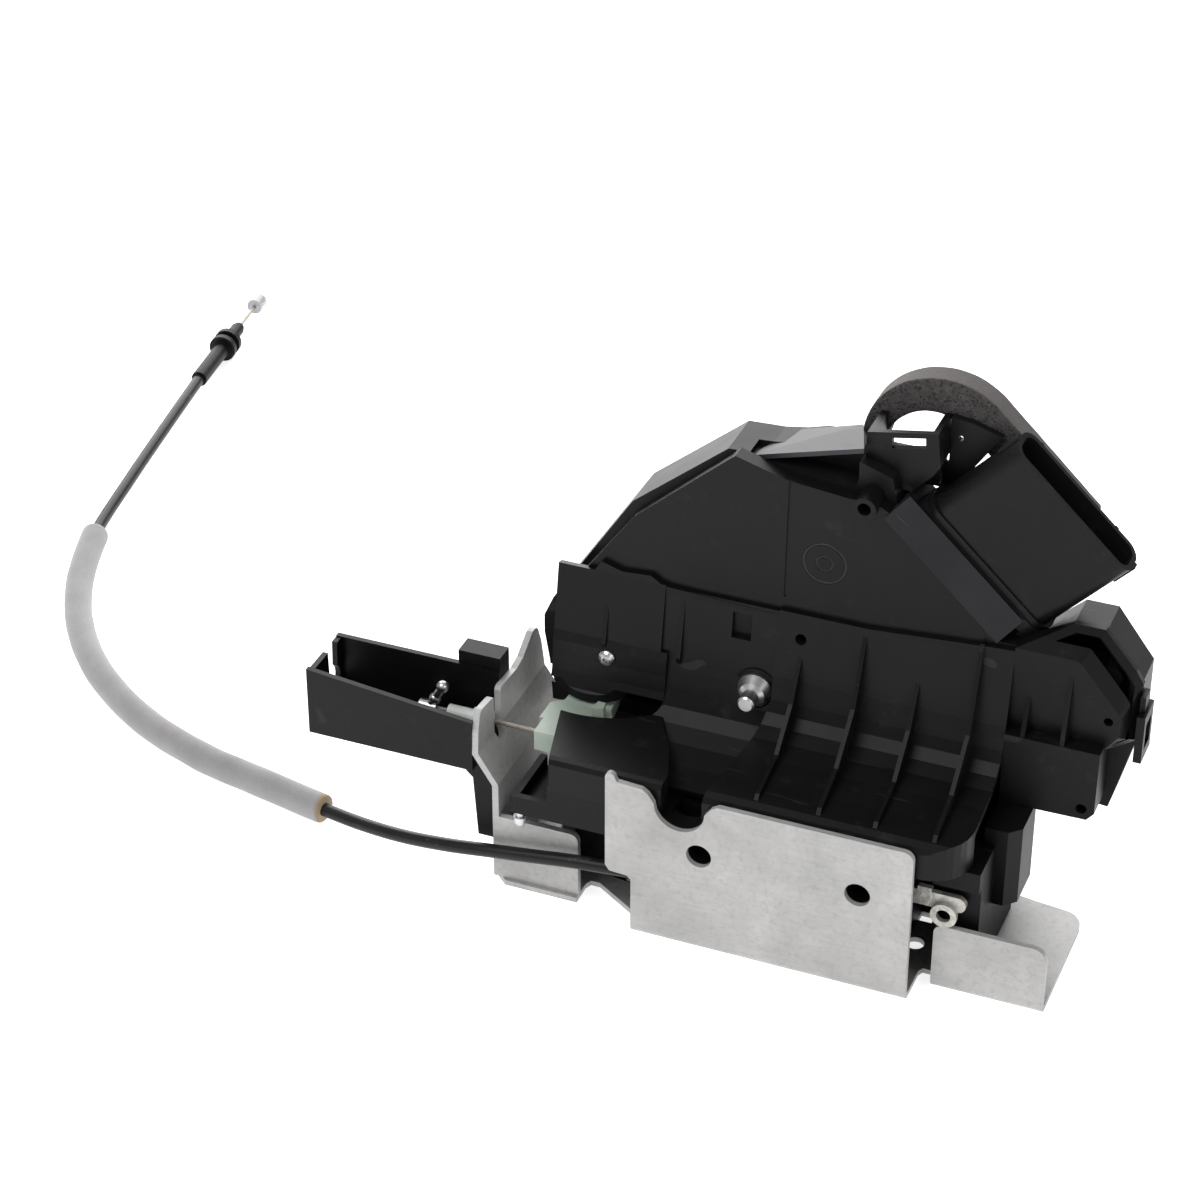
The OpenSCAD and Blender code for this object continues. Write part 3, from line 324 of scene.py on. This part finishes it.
def moulded(name, base, gloss=0.42, grain=1500.0, dust=0.5, dial=False):
    """Moulded plastic: fine spark grain, cloudy gloss, faint flow marks and a little grey dust.
    The cover also has the bare ring of a date dial."""
    f = Finish(name)
    clouds = f.noise(26, 5, 0.6, warp=0.8)
    grit = f.noise(grain, 3, 0.7)
    flow = f.noise(60, 4, 0.6, place=f.moved((1, 1, 0.25), (0, 0.5, 0)), warp=1.2)
    tone = f.mix(clouds.above(0.5, 0.5), shade(base, 0.8), shade(base, 1.35))
    haze = f.noise(70, 7, 0.72, place=f.moved(shift=(0.2, 0.4, 0.1))).above(0.66, 0.16)
    tone = f.mix(haze * (0.07 * dust), tone, (0.2, 0.2, 0.21))
    scratch = f.noise(36, 2, 0.5, place=f.moved((1, 14, 1), (0.3, 0.2, 0.9)), warp=0.3).above(0.71, 0.015)
    tone = f.mix(scratch * (0.16 * dust), tone, (0.1, 0.1, 0.105))
    normal = f.bump(grit * 0.7 + flow * 0.3, 0.22, 0.00012)
    if dial:
        x, z = (f.node("ShaderNodeSeparateXYZ", inputs={0: f.place}, out=k) - middle
                for k, middle in ((0, DIAL[0]), (2, DIAL[1])))
        from_middle = (x * x + z * z) ** 0.5
        ring = (1 - (from_middle - DIAL[2]).size() / 0.0006).above(0.5, 0.6)
        hub = from_middle.above(0.0024, 0.0003) * (1 - from_middle.above(0.0031, 0.0003))
        tone = f.mix((ring + hub * 0.5) * 0.6, tone, (0.06, 0.06, 0.064))
        normal = f.bump(ring + hub * 0.6, 0.7, 0.0006, below=normal)
    return f.set(colour=tone, rough=gloss + clouds * 0.14 + haze * 0.12 - flow * 0.08, specular=0.15,
                 normal=normal)


def nylon(name, base, gloss=0.36):
    """Natural nylon: milky, lit a little from inside, with soft flow clouds."""
    f = Finish(name)
    clouds = f.noise(120, 4, 0.6, warp=0.6)
    tone = f.mix(clouds.above(0.5, 0.5), shade(base, 0.86), shade(base, 1.1))
    return f.set(colour=tone, rough=gloss + clouds * 0.1, inside=0.25, inside_scale=0.002,
                 normal=f.bump(f.noise(900, 3), 0.1, 0.0001))


def bright_steel(name, base=(0.62, 0.62, 0.63), turned=True, rough=0.27):
    """Bright turned steel: fine rings or drawn lines, and small dull spots."""
    f = Finish(name)
    lines = f.noise(260, 2, 0.6, place=f.moved((1, 14, 1) if turned else (14, 1, 14)))
    spots = f.noise(240, 5, 0.7).above(0.62, 0.14)
    tone = f.mix(lines, shade(base, 0.8), shade(base, 1.1))
    tone = f.mix(spots * 0.35, tone, shade(base, 0.55))
    return f.set(colour=tone, metal=1.0, rough=rough + lines * 0.12 + spots * 0.14,
                 normal=f.bump(lines, 0.12, 0.0001))


def greased_zinc():
    """Zinc casting under smears of yellow grease."""
    f = Finish("greased_zinc")
    smear = f.noise(190, 5, 0.65, warp=1.5).above(0.5, 0.16)
    pits = f.noise(500, 4, 0.7)
    tone = f.mix(pits, (0.42, 0.42, 0.4), (0.62, 0.61, 0.57))
    tone = f.mix(smear * 0.75, tone, tuple(colours().grease))
    return f.set(colour=tone, metal=0.75 - smear * 0.5, rough=0.42 - smear * 0.22, coat=smear * 0.6,
                 normal=f.bump(pits * 0.4 + smear, 0.4, 0.0004))


def coated_steel():
    """Dark coated steel with rubbed, brighter places."""
    f = Finish("coated_steel")
    rubbed = f.noise(130, 5, 0.65, warp=0.7).above(0.62, 0.1)
    tone = f.mix(rubbed, (0.03, 0.03, 0.033), (0.3, 0.29, 0.28))
    return f.set(colour=tone, metal=0.4 + rubbed * 0.5, rough=0.45 - rubbed * 0.1,
                 normal=f.bump(f.noise(700, 4), 0.2, 0.00015))


def tinned_contact():
    """Tinned contact blade, soft gold under the tin."""
    f = Finish("tinned_contact")
    clouds = f.noise(300, 4, 0.6)
    return f.set(colour=f.mix(clouds, (0.62, 0.55, 0.38), (0.75, 0.72, 0.64)), metal=1.0,
                 rough=0.28 + clouds * 0.1)


def board():
    """Coated circuit board with copper tracks as raised lines."""
    f = Finish("board")
    tracks = f.cells(260, feature="DISTANCE_TO_EDGE").above(0.06, 0.03)
    return f.set(colour=f.mix(tracks, (0.03, 0.16, 0.07), (0.012, 0.075, 0.035)), rough=0.35, coat=0.3,
                 normal=f.bump(1 - tracks, 0.3, 0.0001))


def pores(f, scale):
    """Open cells of foam at two sizes: 0 in a cell, 1 on its walls."""
    warp = f.noise(scale * 0.6, 3, 0.6)
    big = f.cells(scale, place=f.moved(shift=(0.01, 0, 0)))
    small = f.cells(scale * 2.3)
    return (big * 0.75 + small * 0.35 + warp * 0.22).above(0.46, 0.32)


def gasket_foam():
    """Dark open-cell foam: fine pores on its cut front face, and a paler, smoother skin round its band."""
    f = Finish("gasket_foam")
    base = tuple(colours().gasket)
    walls = pores(f, 900)
    clouds = f.noise(60, 5, 0.65)
    dust = f.noise(420, 6, 0.75).above(0.56, 0.2)
    face = f.mix(walls, shade(base, 0.28), shade(base, 1.35))
    face = f.mix(clouds.above(0.5, 0.4) * 0.3, face, shade(base, 1.9))
    face = f.mix(walls * dust * 0.4, face, shade(base, 3.2))
    skin = f.mix(f.noise(1300, 4, 0.7).above(0.5, 0.5), shade(base, 2.9), shade(base, 4.0))
    skin = f.mix(clouds.above(0.52, 0.4) * 0.4, skin, shade(base, 2.3))
    depth = f.node("ShaderNodeSeparateXYZ", inputs={0: f.place}, out=1)
    band = (depth + f.noise(300, 3, 0.6) * 0.0008).above(BAND_FROM, 0.0007)
    return f.set(colour=f.mix(band, face, skin), rough=0.96, specular=0.15,
                 normal=f.bump((walls + dust * 0.4) * (1 - band * 0.75), 0.8, 0.0005))


def sleeve_foam():
    """Pale grey fine foam with a velvet skin, soiled along its length and tan glue at the gland's end."""
    f = Finish("sleeve_foam")
    base = tuple(colours().sleeve)
    skin = f.noise(1500, 4, 0.75)
    clouds = f.noise(75, 5, 0.65)
    tone = f.mix(clouds.above(0.5, 0.5), shade(base, 0.84), shade(base, 1.14))
    tone = f.mix(skin.above(0.5, 0.3) * 0.3, tone, shade(base, 0.62))
    along = f.node("ShaderNodeSeparateXYZ", inputs={0: f.place}, out=0)
    edge = (along + f.noise(260, 4, 0.7) * 0.006).above(GLUE_FROM, 0.002)
    tone = f.mix(edge * 0.85, tone, (0.3, 0.2, 0.09))
    soil = f.noise(33, 5, 0.7, place=f.moved(shift=(0.4, 0.1, 0))).above(0.62, 0.16)
    tone = f.mix(soil * 0.3, tone, (0.24, 0.2, 0.15))
    return f.set(colour=tone, rough=0.93, specular=0.2, sheen=0.35, sheen_rough=0.6,
                 normal=f.bump(skin * 0.6 + clouds * 0.7, 0.55, 0.0004))


def casing_sheath():
    """Smooth black sheath with long gloss streaks and pale scuffs."""
    f = Finish("casing_sheath")
    streak = f.noise(55, 4, 0.65, warp=0.4)
    scuff = f.noise(160, 6, 0.72).above(0.64, 0.08)
    tone = f.mix(streak, (0.009, 0.009, 0.0095), (0.02, 0.02, 0.021))
    tone = f.mix(scuff * 0.35, tone, (0.17, 0.16, 0.15))
    return f.set(colour=tone, rough=0.3 + streak * 0.14 + scuff * 0.2, specular=0.2,
                 normal=f.bump(f.noise(600, 3) * 0.5 + streak, 0.15, 0.0003))


def strand_wire():
    """Twisted steel strands with brownish oil between them."""
    f = Finish("strand_wire")
    oil = f.noise(700, 4, 0.7)
    return f.set(colour=f.mix(oil, (0.2, 0.16, 0.12), (0.52, 0.49, 0.45)), metal=0.95, rough=0.3 + oil * 0.15)


def clear_nipple():
    """Milky clear nylon of the nipple."""
    f = Finish("clear_nipple")
    clouds = f.noise(260, 4, 0.6)
    return f.set(colour=f.mix(clouds, (0.26, 0.28, 0.3), (0.42, 0.44, 0.46)), rough=0.2 + clouds * 0.12,
                 inside=0.35, inside_scale=0.003, normal=f.bump(clouds, 0.1, 0.0002))


def smooth_line(points, steps):
    """Catmull-Rom curve through the points, steps pieces between neighbours:
    half of (2b + (c-a)t + (2a-5b+4c-d)t^2 + (3b-a-3c+d)t^3) for the four points a, b, c, d around t."""
    n = len(points)
    i = np.repeat(np.arange(n - 1), steps)
    t = np.tile(np.arange(steps) / steps, n - 1)[:, None]
    a, b, c, d = (points[np.clip(i + k, 0, n - 1)] for k in (-1, 0, 1, 2))
    body = 0.5 * (2 * b + (c - a) * t + (2 * a - 5 * b + 4 * c - d) * t ** 2
                  + (3 * b - a - 3 * c + d) * t ** 3)
    return np.vstack([body, points[-1:]])


def cross_frames(line):
    """Tangent, sideways and upward directions along a line that stays near level."""
    ahead = np.gradient(line, axis=0)
    ahead /= np.linalg.norm(ahead, axis=1)[:, None]
    aside = np.cross(ahead, (0, 0, 1.0))
    aside /= np.linalg.norm(aside, axis=1)[:, None]
    return ahead, aside, np.cross(aside, ahead)


def object_from(name, points, faces, material, smooth=True):
    mesh = bpy.data.meshes.new(name)
    mesh.from_pydata(np.asarray(points, float).reshape(-1, 3).tolist(), [],
                     [list(map(int, q)) for q in faces])
    mesh.update()
    mesh.materials.append(material)
    if smooth:
        mesh.polygons.foreach_set("use_smooth", np.ones(len(mesh.polygons), bool))
    made = bpy.data.objects.new(name, mesh)
    bpy.context.scene.collection.objects.link(made)
    return made


def grid_faces(rows, cols):
    """Quads of a grid of rows by cols points, each row joined round."""
    r, c = np.meshgrid(np.arange(rows - 1), np.arange(cols), indexing="ij")
    d = (c + 1) % cols
    return np.stack([r * cols + c, r * cols + d, (r + 1) * cols + d, (r + 1) * cols + c], -1).reshape(-1, 4)


def end_fans(rows, sides):
    """Triangles that close both ends of a tube of rows rings, whose end middles are its last two points."""
    k = np.arange(sides)
    j = (k + 1) % sides
    n = rows * sides
    return ([[a, b, n] for a, b in zip(k, j)]
            + [[n - sides + b, n - sides + a, n + 1] for a, b in zip(k, j)])


def tube_shape(line, radius, sides):
    """Points and faces of a tube round a line: each point is the line plus radius times
    (cos angle * aside + sin angle * up). radius is one number or one for each point of the line
    by each side. Both ends are closed."""
    ahead, aside, up = cross_frames(line)
    angle = np.linspace(0, 2 * math.pi, sides, endpoint=False)
    radius = np.broadcast_to(np.asarray(radius, float), (len(line), sides))[..., None]
    ring = (line[:, None] + radius * (np.cos(angle)[None, :, None] * aside[:, None]
                                      + np.sin(angle)[None, :, None] * up[:, None]))
    points = np.vstack([ring.reshape(-1, 3), line[:1], line[-1:]])
    return points, [list(q[::-1]) for q in grid_faces(len(line), sides)] + end_fans(len(line), sides)


def tube(name, line, radius, sides, material):
    return object_from(name, *tube_shape(line, radius, sides), material)


def face_out(made):
    """Turns every face outwards on a new closed mesh."""
    shape = bmesh.new()
    shape.from_mesh(made.data)
    bmesh.ops.remove_doubles(shape, verts=shape.verts, dist=1e-7)
    bmesh.ops.recalc_face_normals(shape, faces=shape.faces)
    shape.to_mesh(made.data)
    shape.free()
    return made


def wire_rope(name, line, diameter, lay, material, strands=6, sides=8):
    """Wire rope: a core and strands on a helix, strand k at angle 2 pi (s / lay + k / strands) round the
    line, where s is the length along it."""
    ahead, aside, up = cross_frames(line)
    s = np.concatenate([[0], np.cumsum(np.linalg.norm(np.diff(line, axis=0), axis=1))])
    r = diameter / 6
    points, faces = [], []
    for k in range(strands + 1):
        turn = 2 * math.pi * (s / lay + k / strands)
        away = 0 if k == strands else 2 * r
        out = (np.cos(turn)[:, None] * aside + np.sin(turn)[:, None] * up) * away
        strand, sheath = tube_shape(line + out, r, sides)
        first = sum(len(p) for p in points)
        points.append(strand)
        faces += [[first + v for v in q] for q in sheath]
    return object_from(name, np.vstack(points), faces, material)


def ripple(shape, seed, waves):
    """Sum of a few sine waves over a grid of that shape, from -1 to 1, for uneven foam."""
    rng = np.random.default_rng(seed)
    u, v = np.meshgrid(np.linspace(0, 1, shape[0]),
                       np.linspace(0, 2 * math.pi, shape[1], endpoint=False), indexing="ij")
    total = np.zeros(shape)
    for _ in range(waves):
        total += np.sin(2 * math.pi * rng.uniform(2, 16) * u + rng.integers(0, 4) * v + rng.uniform(0, 6.28))
    return total / waves


class LATCH_OT_studio(bpy.types.Operator):
    """Pale floor, soft light from all round and three large lamps, and the camera"""
    bl_idname = "latch.studio"
    bl_label = "Studio"

    def execute(self, context):
        settings = context.scene.latch_studio
        low = float(CAD_BOX[0][2])
        corners = [(x * FLOOR_HALF, y * FLOOR_HALF, low) for x, y in ((-1, -1), (1, -1), (1, 1), (-1, 1))]
        floor = object_from("floor", corners, [(0, 1, 2, 3)], self.floor_finish(), smooth=False)
        world = bpy.data.worlds.new("studio")
        world.use_nodes = True
        context.scene.world = world
        background = world.node_tree.nodes["Background"]
        background.inputs[0].default_value = (1, 1, 1, 1)
        background.inputs[1].default_value = settings.light
        context.scene.view_settings.view_transform = "Standard"
        for name, place, size, power in LAMPS:
            lamp = bpy.data.lights.new(name, "AREA")
            lamp.shape, lamp.size, lamp.energy = "SQUARE", size, power
            holder = bpy.data.objects.new(name, lamp)
            context.scene.collection.objects.link(holder)
            holder.location = place
            holder.rotation_mode = "QUATERNION"
            holder.rotation_quaternion = (-Vector(place)).to_track_quat("-Z", "Y")
        self.camera(context, settings)
        return {"FINISHED"}

    def floor_finish(self):
        f = Finish("floor")
        return f.set(colour=(0.9, 0.9, 0.9), rough=0.9, specular=0.05, glow=(1, 1, 1), glow_strength=0.75)

    def camera(self, context, settings):
        """The camera looks along the given bearing and height, from where the photograph was taken."""
        a, e = settings.bearing, settings.height
        right = (math.cos(a), math.sin(a), 0)
        up = (-math.sin(a) * math.sin(e), math.cos(a) * math.sin(e), math.cos(e))
        back = (math.sin(a) * math.cos(e), -math.cos(a) * math.cos(e), math.sin(e))
        data = bpy.data.cameras.new("camera")
        data.lens, data.sensor_width = settings.lens, 36
        data.dof.use_dof = False
        data.clip_start, data.clip_end = 0.05, 30
        made = bpy.data.objects.new("camera", data)
        context.scene.collection.objects.link(made)
        turned = Matrix((right, up, back)).transposed().to_4x4()
        turned.translation = CAMERA_PLACE
        made.matrix_world = turned
        context.scene.camera = made


class LATCH_OT_cable(bpy.types.Operator):
    """Sheath, foam sleeve and bare wire of the pull cable, fixed to the housing"""
    bl_idname = "latch.cable"
    bl_label = "Pull cable"

    def execute(self, context):
        size = sizes()
        line = smooth_line(ROUTE, 10)
        sheath = tube("pull_cable", line, size.casing / 2, 24, casing_sheath())
        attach(sheath, "housing")
        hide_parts("cable_casing")

        part = smooth_line(ROUTE[SLEEVE_FROM:SLEEVE_TO + 1], 36)
        rows, sides = len(part), 64
        s = np.linspace(0, 1, rows)[:, None]
        close = np.clip(np.minimum(s, 1 - s) / 0.012, 0, 1)
        rounded = 0.9 + 0.1 * np.sqrt(1 - (1 - close) ** 2)
        radius = size.foam / 2 * (1 + 0.028 * ripple((rows, sides), 5, 9)) * rounded
        radius = np.minimum(radius, SLEEVE_LIMIT)
        sleeve = tube("foam_sleeve", part, radius, sides, sleeve_foam())
        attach(sleeve, "housing")
        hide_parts("cable_foam")

        start = ROUTE[-1] + TIP_DIRECTION * TIP_START
        tip = start + np.linspace(0, TIP_LONG, 60)[:, None] * TIP_DIRECTION
        wire = wire_rope("cable_strands", tip, size.wire, size.lay, strand_wire())
        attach(wire, "housing")
        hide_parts("cable_wire")
        return {"FINISHED"}


class LATCH_OT_pull_wire(bpy.types.Operator):
    """Twisted pull wire of the release lever, with its ball"""
    bl_idname = "latch.pull_wire"
    bl_label = "Pull wire"

    def execute(self, context):
        low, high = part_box("pull_wire")
        y, z = (low[1] + high[1]) / 2, (low[2] + high[2]) / 2
        x = np.linspace(low[0], high[0] - STRANDS_BACK, 160)
        line = np.stack([x, np.full_like(x, y), np.full_like(x, z)], -1)
        rope = wire_rope("pull_strands", line, sizes().wire, sizes().lay, strand_wire())
        centre = np.array((high[0] - BALL_BACK, y, z))
        u = np.linspace(0, math.pi, 17)[:, None]
        v = np.linspace(0, 2 * math.pi, 24, endpoint=False)[None]
        ball = centre + BALL_RADIUS * np.stack(
            [np.cos(u) + 0 * v, np.sin(u) * np.cos(v), np.sin(u) * np.sin(v)], -1)
        knob = face_out(object_from("pull_ball", ball.reshape(-1, 3), grid_faces(len(u), v.shape[1]),
                                    bright_steel("ball_steel")))
        for made in (rope, knob):
            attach(made, "wire")
        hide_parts("pull_wire")
        return {"FINISHED"}


class LATCH_OT_gasket(bpy.types.Operator):
    """Foam gasket behind the plug socket, an arch with a straight leg"""
    bl_idname = "latch.gasket"
    bl_label = "Foam gasket"

    def execute(self, context):
        size = sizes()
        low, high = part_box("foam_gasket")
        outer = self.edge(GASKET_CENTRE, size.gasket_radius, GASKET_STARTS[0])
        inner = self.edge(GASKET_INNER, size.gasket_radius - size.gasket_band, GASKET_STARTS[1])
        middle, half = (outer + inner) / 2, (outer - inner) / 2
        centre = np.insert(middle, 1, (low[1] + high[1]) / 2, axis=1)
        across = np.insert(half, 1, 0.0, axis=1)
        deep = size.gasket_deep / 2
        sides = 96
        t = np.linspace(0, 2 * math.pi, sides, endpoint=False)
        square = np.abs(np.cos(t)) ** SECTION_POWER + np.abs(np.sin(t)) ** SECTION_POWER
        box = square ** (-1 / SECTION_POWER)
        wave = 0.985 + 0.012 * ripple((len(centre), sides), 3, 10)
        s = np.linspace(0, 1, len(centre))
        close = np.clip(np.minimum(s, 1 - s) / 0.012, 0, 1)
        shrink = (0.93 + 0.07 * np.sqrt(1 - (1 - close) ** 2))[:, None]
        ring = (centre[:, None] + (np.cos(t) * box * wave * shrink)[..., None] * across[:, None]
                + (deep * np.sin(t) * box * wave * shrink)[..., None] * np.array((0, 1.0, 0)))
        points = np.vstack([ring.reshape(-1, 3), centre[:1], centre[-1:]])
        faces = grid_faces(len(centre), sides).tolist() + end_fans(len(centre), sides)
        pad = face_out(object_from("gasket_pad", points, faces, gasket_foam()))
        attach(pad, "housing")
        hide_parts("foam_gasket")
        return {"FINISHED"}

    def edge(self, centre, radius, start):
        """X and Z of one edge: the arc from start to GASKET_STOP, then the straight leg."""
        bend = np.radians(np.linspace(start, GASKET_STOP, 110))[:, None]
        arc = centre + radius * np.hstack([np.cos(bend), np.sin(bend)])
        leg = arc[-1] + np.linspace(0, 1, 70)[1:, None] * GASKET_LEG
        return np.vstack([arc, leg])


class LATCH_OT_shell(bpy.types.Operator):
    """Rear shell with a lower crown, its arm and lip, and the slanted strip beside the socket"""
    bl_idname = "latch.shell"
    bl_label = "Rear shell"

    def execute(self, context):
        self.body(context)
        (foot_x, foot_z), c, n = SOCKET_FOOT, math.cos(SOCKET_TURN), math.sin(SOCKET_TURN)
        strip_points = [(foot_x + u / 1000 * c - w * n, y / 1000, foot_z + u / 1000 * n + w * c)
                        for w in STRIP_ENDS for u, y in STRIP_OUTLINE]
        (x0, y0, z0), (x1, y1, z1) = LIP
        corners = [(x, y, z) for z in (z0, z1) for x, y in ((x0, y0), (x1, y0), (x1, y1), (x0, y1))]
        # The strip's plastic is the cover's black made four times lighter: a painted highlight where the key
        # lamp lights its slanted face.
        strip = self.bar("slanted_strip", strip_points, self.plastic("strip_painted_highlight_plastic", 4, 0.34))
        # The arm's plastic is the cover's black made seven times lighter: painted reflection of the overhead
        # light on its upward top face. The lip is given the same lighter plastic.
        painted_reflection_finish = self.plastic("arm_painted_reflection_plastic", 7, 0.3)
        arm = self.bar("shell_arm", np.vstack([ARM, ARM - (0, 0, ARM_THICK)]) / 1000, painted_reflection_finish)
        lip = self.bar("shell_lip", np.array(corners) / 1000, painted_reflection_finish)
        for made in (strip, arm, lip):
            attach(made, "housing")
        return {"FINISHED"}

    def body(self, context):
        """A copy of the solid, squeezed under LOW_TOP: a height z above floor = low - SQUEEZED becomes
        floor + (z - floor) * SQUEEZED / (top - floor)."""
        shape = bmesh.new()
        shape.from_mesh(frame["nodes"]["rear_shell"].data)
        bmesh.ops.remove_doubles(shape, verts=shape.verts, dist=1e-7)
        for point in shape.verts:
            x, z = point.co.x * 1000, point.co.z * 1000
            if not SOLID_TOP[0][0] < x < SOLID_TOP[-1][0]:
                continue
            top, low = (np.interp(x, *line.T) for line in (SOLID_TOP, LOW_TOP))
            floor = low - SQUEEZED
            if z > floor:
                point.co.z = (floor + (z - floor) * SQUEEZED / (top - floor)) / 1000
                rise = min(max((z - CORNER_Z[0]) / CORNER_Z[1], 0), 1)
                point.co.x -= CORNER_MOVE * rise * min(max((CORNER_X[0] - x) / CORNER_X[1], 0), 1)
        mesh = bpy.data.meshes.new("shell_body")
        shape.to_mesh(mesh)
        shape.free()
        made = bpy.data.objects.new("shell_body", mesh)
        context.scene.collection.objects.link(made)
        mesh.materials.append(self.plastic("shell_body_plastic", 1.5, 0.4))
        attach(made, "housing")
        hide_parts("rear_shell")

    def plastic(self, name, light, gloss):
        return moulded(name, shade(tuple(colours().plastic), light), gloss, 1500, 1.0)

    def bar(self, name, points, finish):
        """Bar between two rings of four points each."""
        sides = [(k, k + 4, (k + 1) % 4 + 4, (k + 1) % 4) for k in range(4)]
        return face_out(object_from(name, points, [(0, 1, 2, 3), (7, 6, 5, 4)] + sides, finish, smooth=False))


class LATCH_OT_finishes(bpy.types.Operator):
    """Paints every solid with the finish of its material slot"""
    bl_idname = "latch.finishes"
    bl_label = "Finishes"

    def execute(self, context):
        tint = colours()
        black = tuple(tint.plastic)
        by_slot = {
            "zinc_steel": zinc_sheet(),
            "black_plastic": moulded("cover_plastic", black, 0.36, 1700, 0.8, dial=True),
            "shell_plastic": moulded("shell_plastic", shade(black, 1.5), 0.4, 1500, 1.0),
            "case_plastic": moulded("case_plastic", shade(black, 0.8), 0.42, 1300, 0.6),
            "socket_plastic": moulded("socket_plastic", shade(black, 1.1), 0.38, 1900, 0.6),
            "foam": gasket_foam(),
            "foam_sleeve": sleeve_foam(),
            "lever_plastic": nylon("lever_nylon", tuple(tint.nylon)),
            "natural_plastic": nylon("natural_nylon", (0.7, 0.72, 0.7)),
            "greased_zinc": greased_zinc(),
            "bright_steel": bright_steel("bright_steel"),
            "dark_steel": coated_steel(),
            "contact_metal": tinned_contact(),
            "cable_sheath": casing_sheath(),
            "wire_steel": strand_wire(),
            "board": board(),
            "gear_plastic": nylon("gear_acetal", (0.72, 0.7, 0.62)),
        }
        own = {"cable_nipple": clear_nipple(),
               "shell_screws": bright_steel("screw_steel", (0.5, 0.5, 0.5), True, 0.35)}
        slots = {part["node"]: part["material_slot"] for part in frame["record"]["subparts"]}
        for name, solid in frame["nodes"].items():
            finish = own.get(name) or by_slot[slots[name]]
            if not solid.material_slots:
                solid.data.materials.append(finish)
            for place in solid.material_slots:
                place.material = finish
        return {"FINISHED"}


class LATCH_PT_panel(bpy.types.Panel):
    """Lists the pieces of the latch"""
    bl_label = "Tailgate latch"
    bl_idname = "LATCH_PT_panel"
    bl_space_type = "VIEW_3D"
    bl_region_type = "UI"
    bl_category = "Latch"

    def draw(self, context):
        for operator in OPERATORS:
            self.layout.operator(operator.bl_idname)
        for group in (context.scene.latch_sizes, context.scene.latch_colours, context.scene.latch_studio):
            for key in group.bl_rna.properties.keys():
                if key not in ("rna_type", "name"):
                    self.layout.prop(group, key)


GROUPS = (LatchSizes, LatchColours, StudioSettings)
OPERATORS = (LATCH_OT_studio, LATCH_OT_cable, LATCH_OT_pull_wire, LATCH_OT_gasket, LATCH_OT_shell,
             LATCH_OT_finishes)


def register():
    for cls in (*GROUPS, *OPERATORS, LATCH_PT_panel):
        bpy.utils.register_class(cls)
    bpy.types.Scene.latch_sizes = PointerProperty(type=LatchSizes)
    bpy.types.Scene.latch_colours = PointerProperty(type=LatchColours)
    bpy.types.Scene.latch_studio = PointerProperty(type=StudioSettings)


def unregister():
    del bpy.types.Scene.latch_studio
    del bpy.types.Scene.latch_colours
    del bpy.types.Scene.latch_sizes
    for cls in reversed((*GROUPS, *OPERATORS, LATCH_PT_panel)):
        bpy.utils.unregister_class(cls)


def main():
    register()
    bpy.ops.latch.studio()
    bpy.ops.latch.cable()
    bpy.ops.latch.pull_wire()
    bpy.ops.latch.gasket()
    bpy.ops.latch.shell()
    bpy.ops.latch.finishes()


if __name__ == "__main__":
    main()
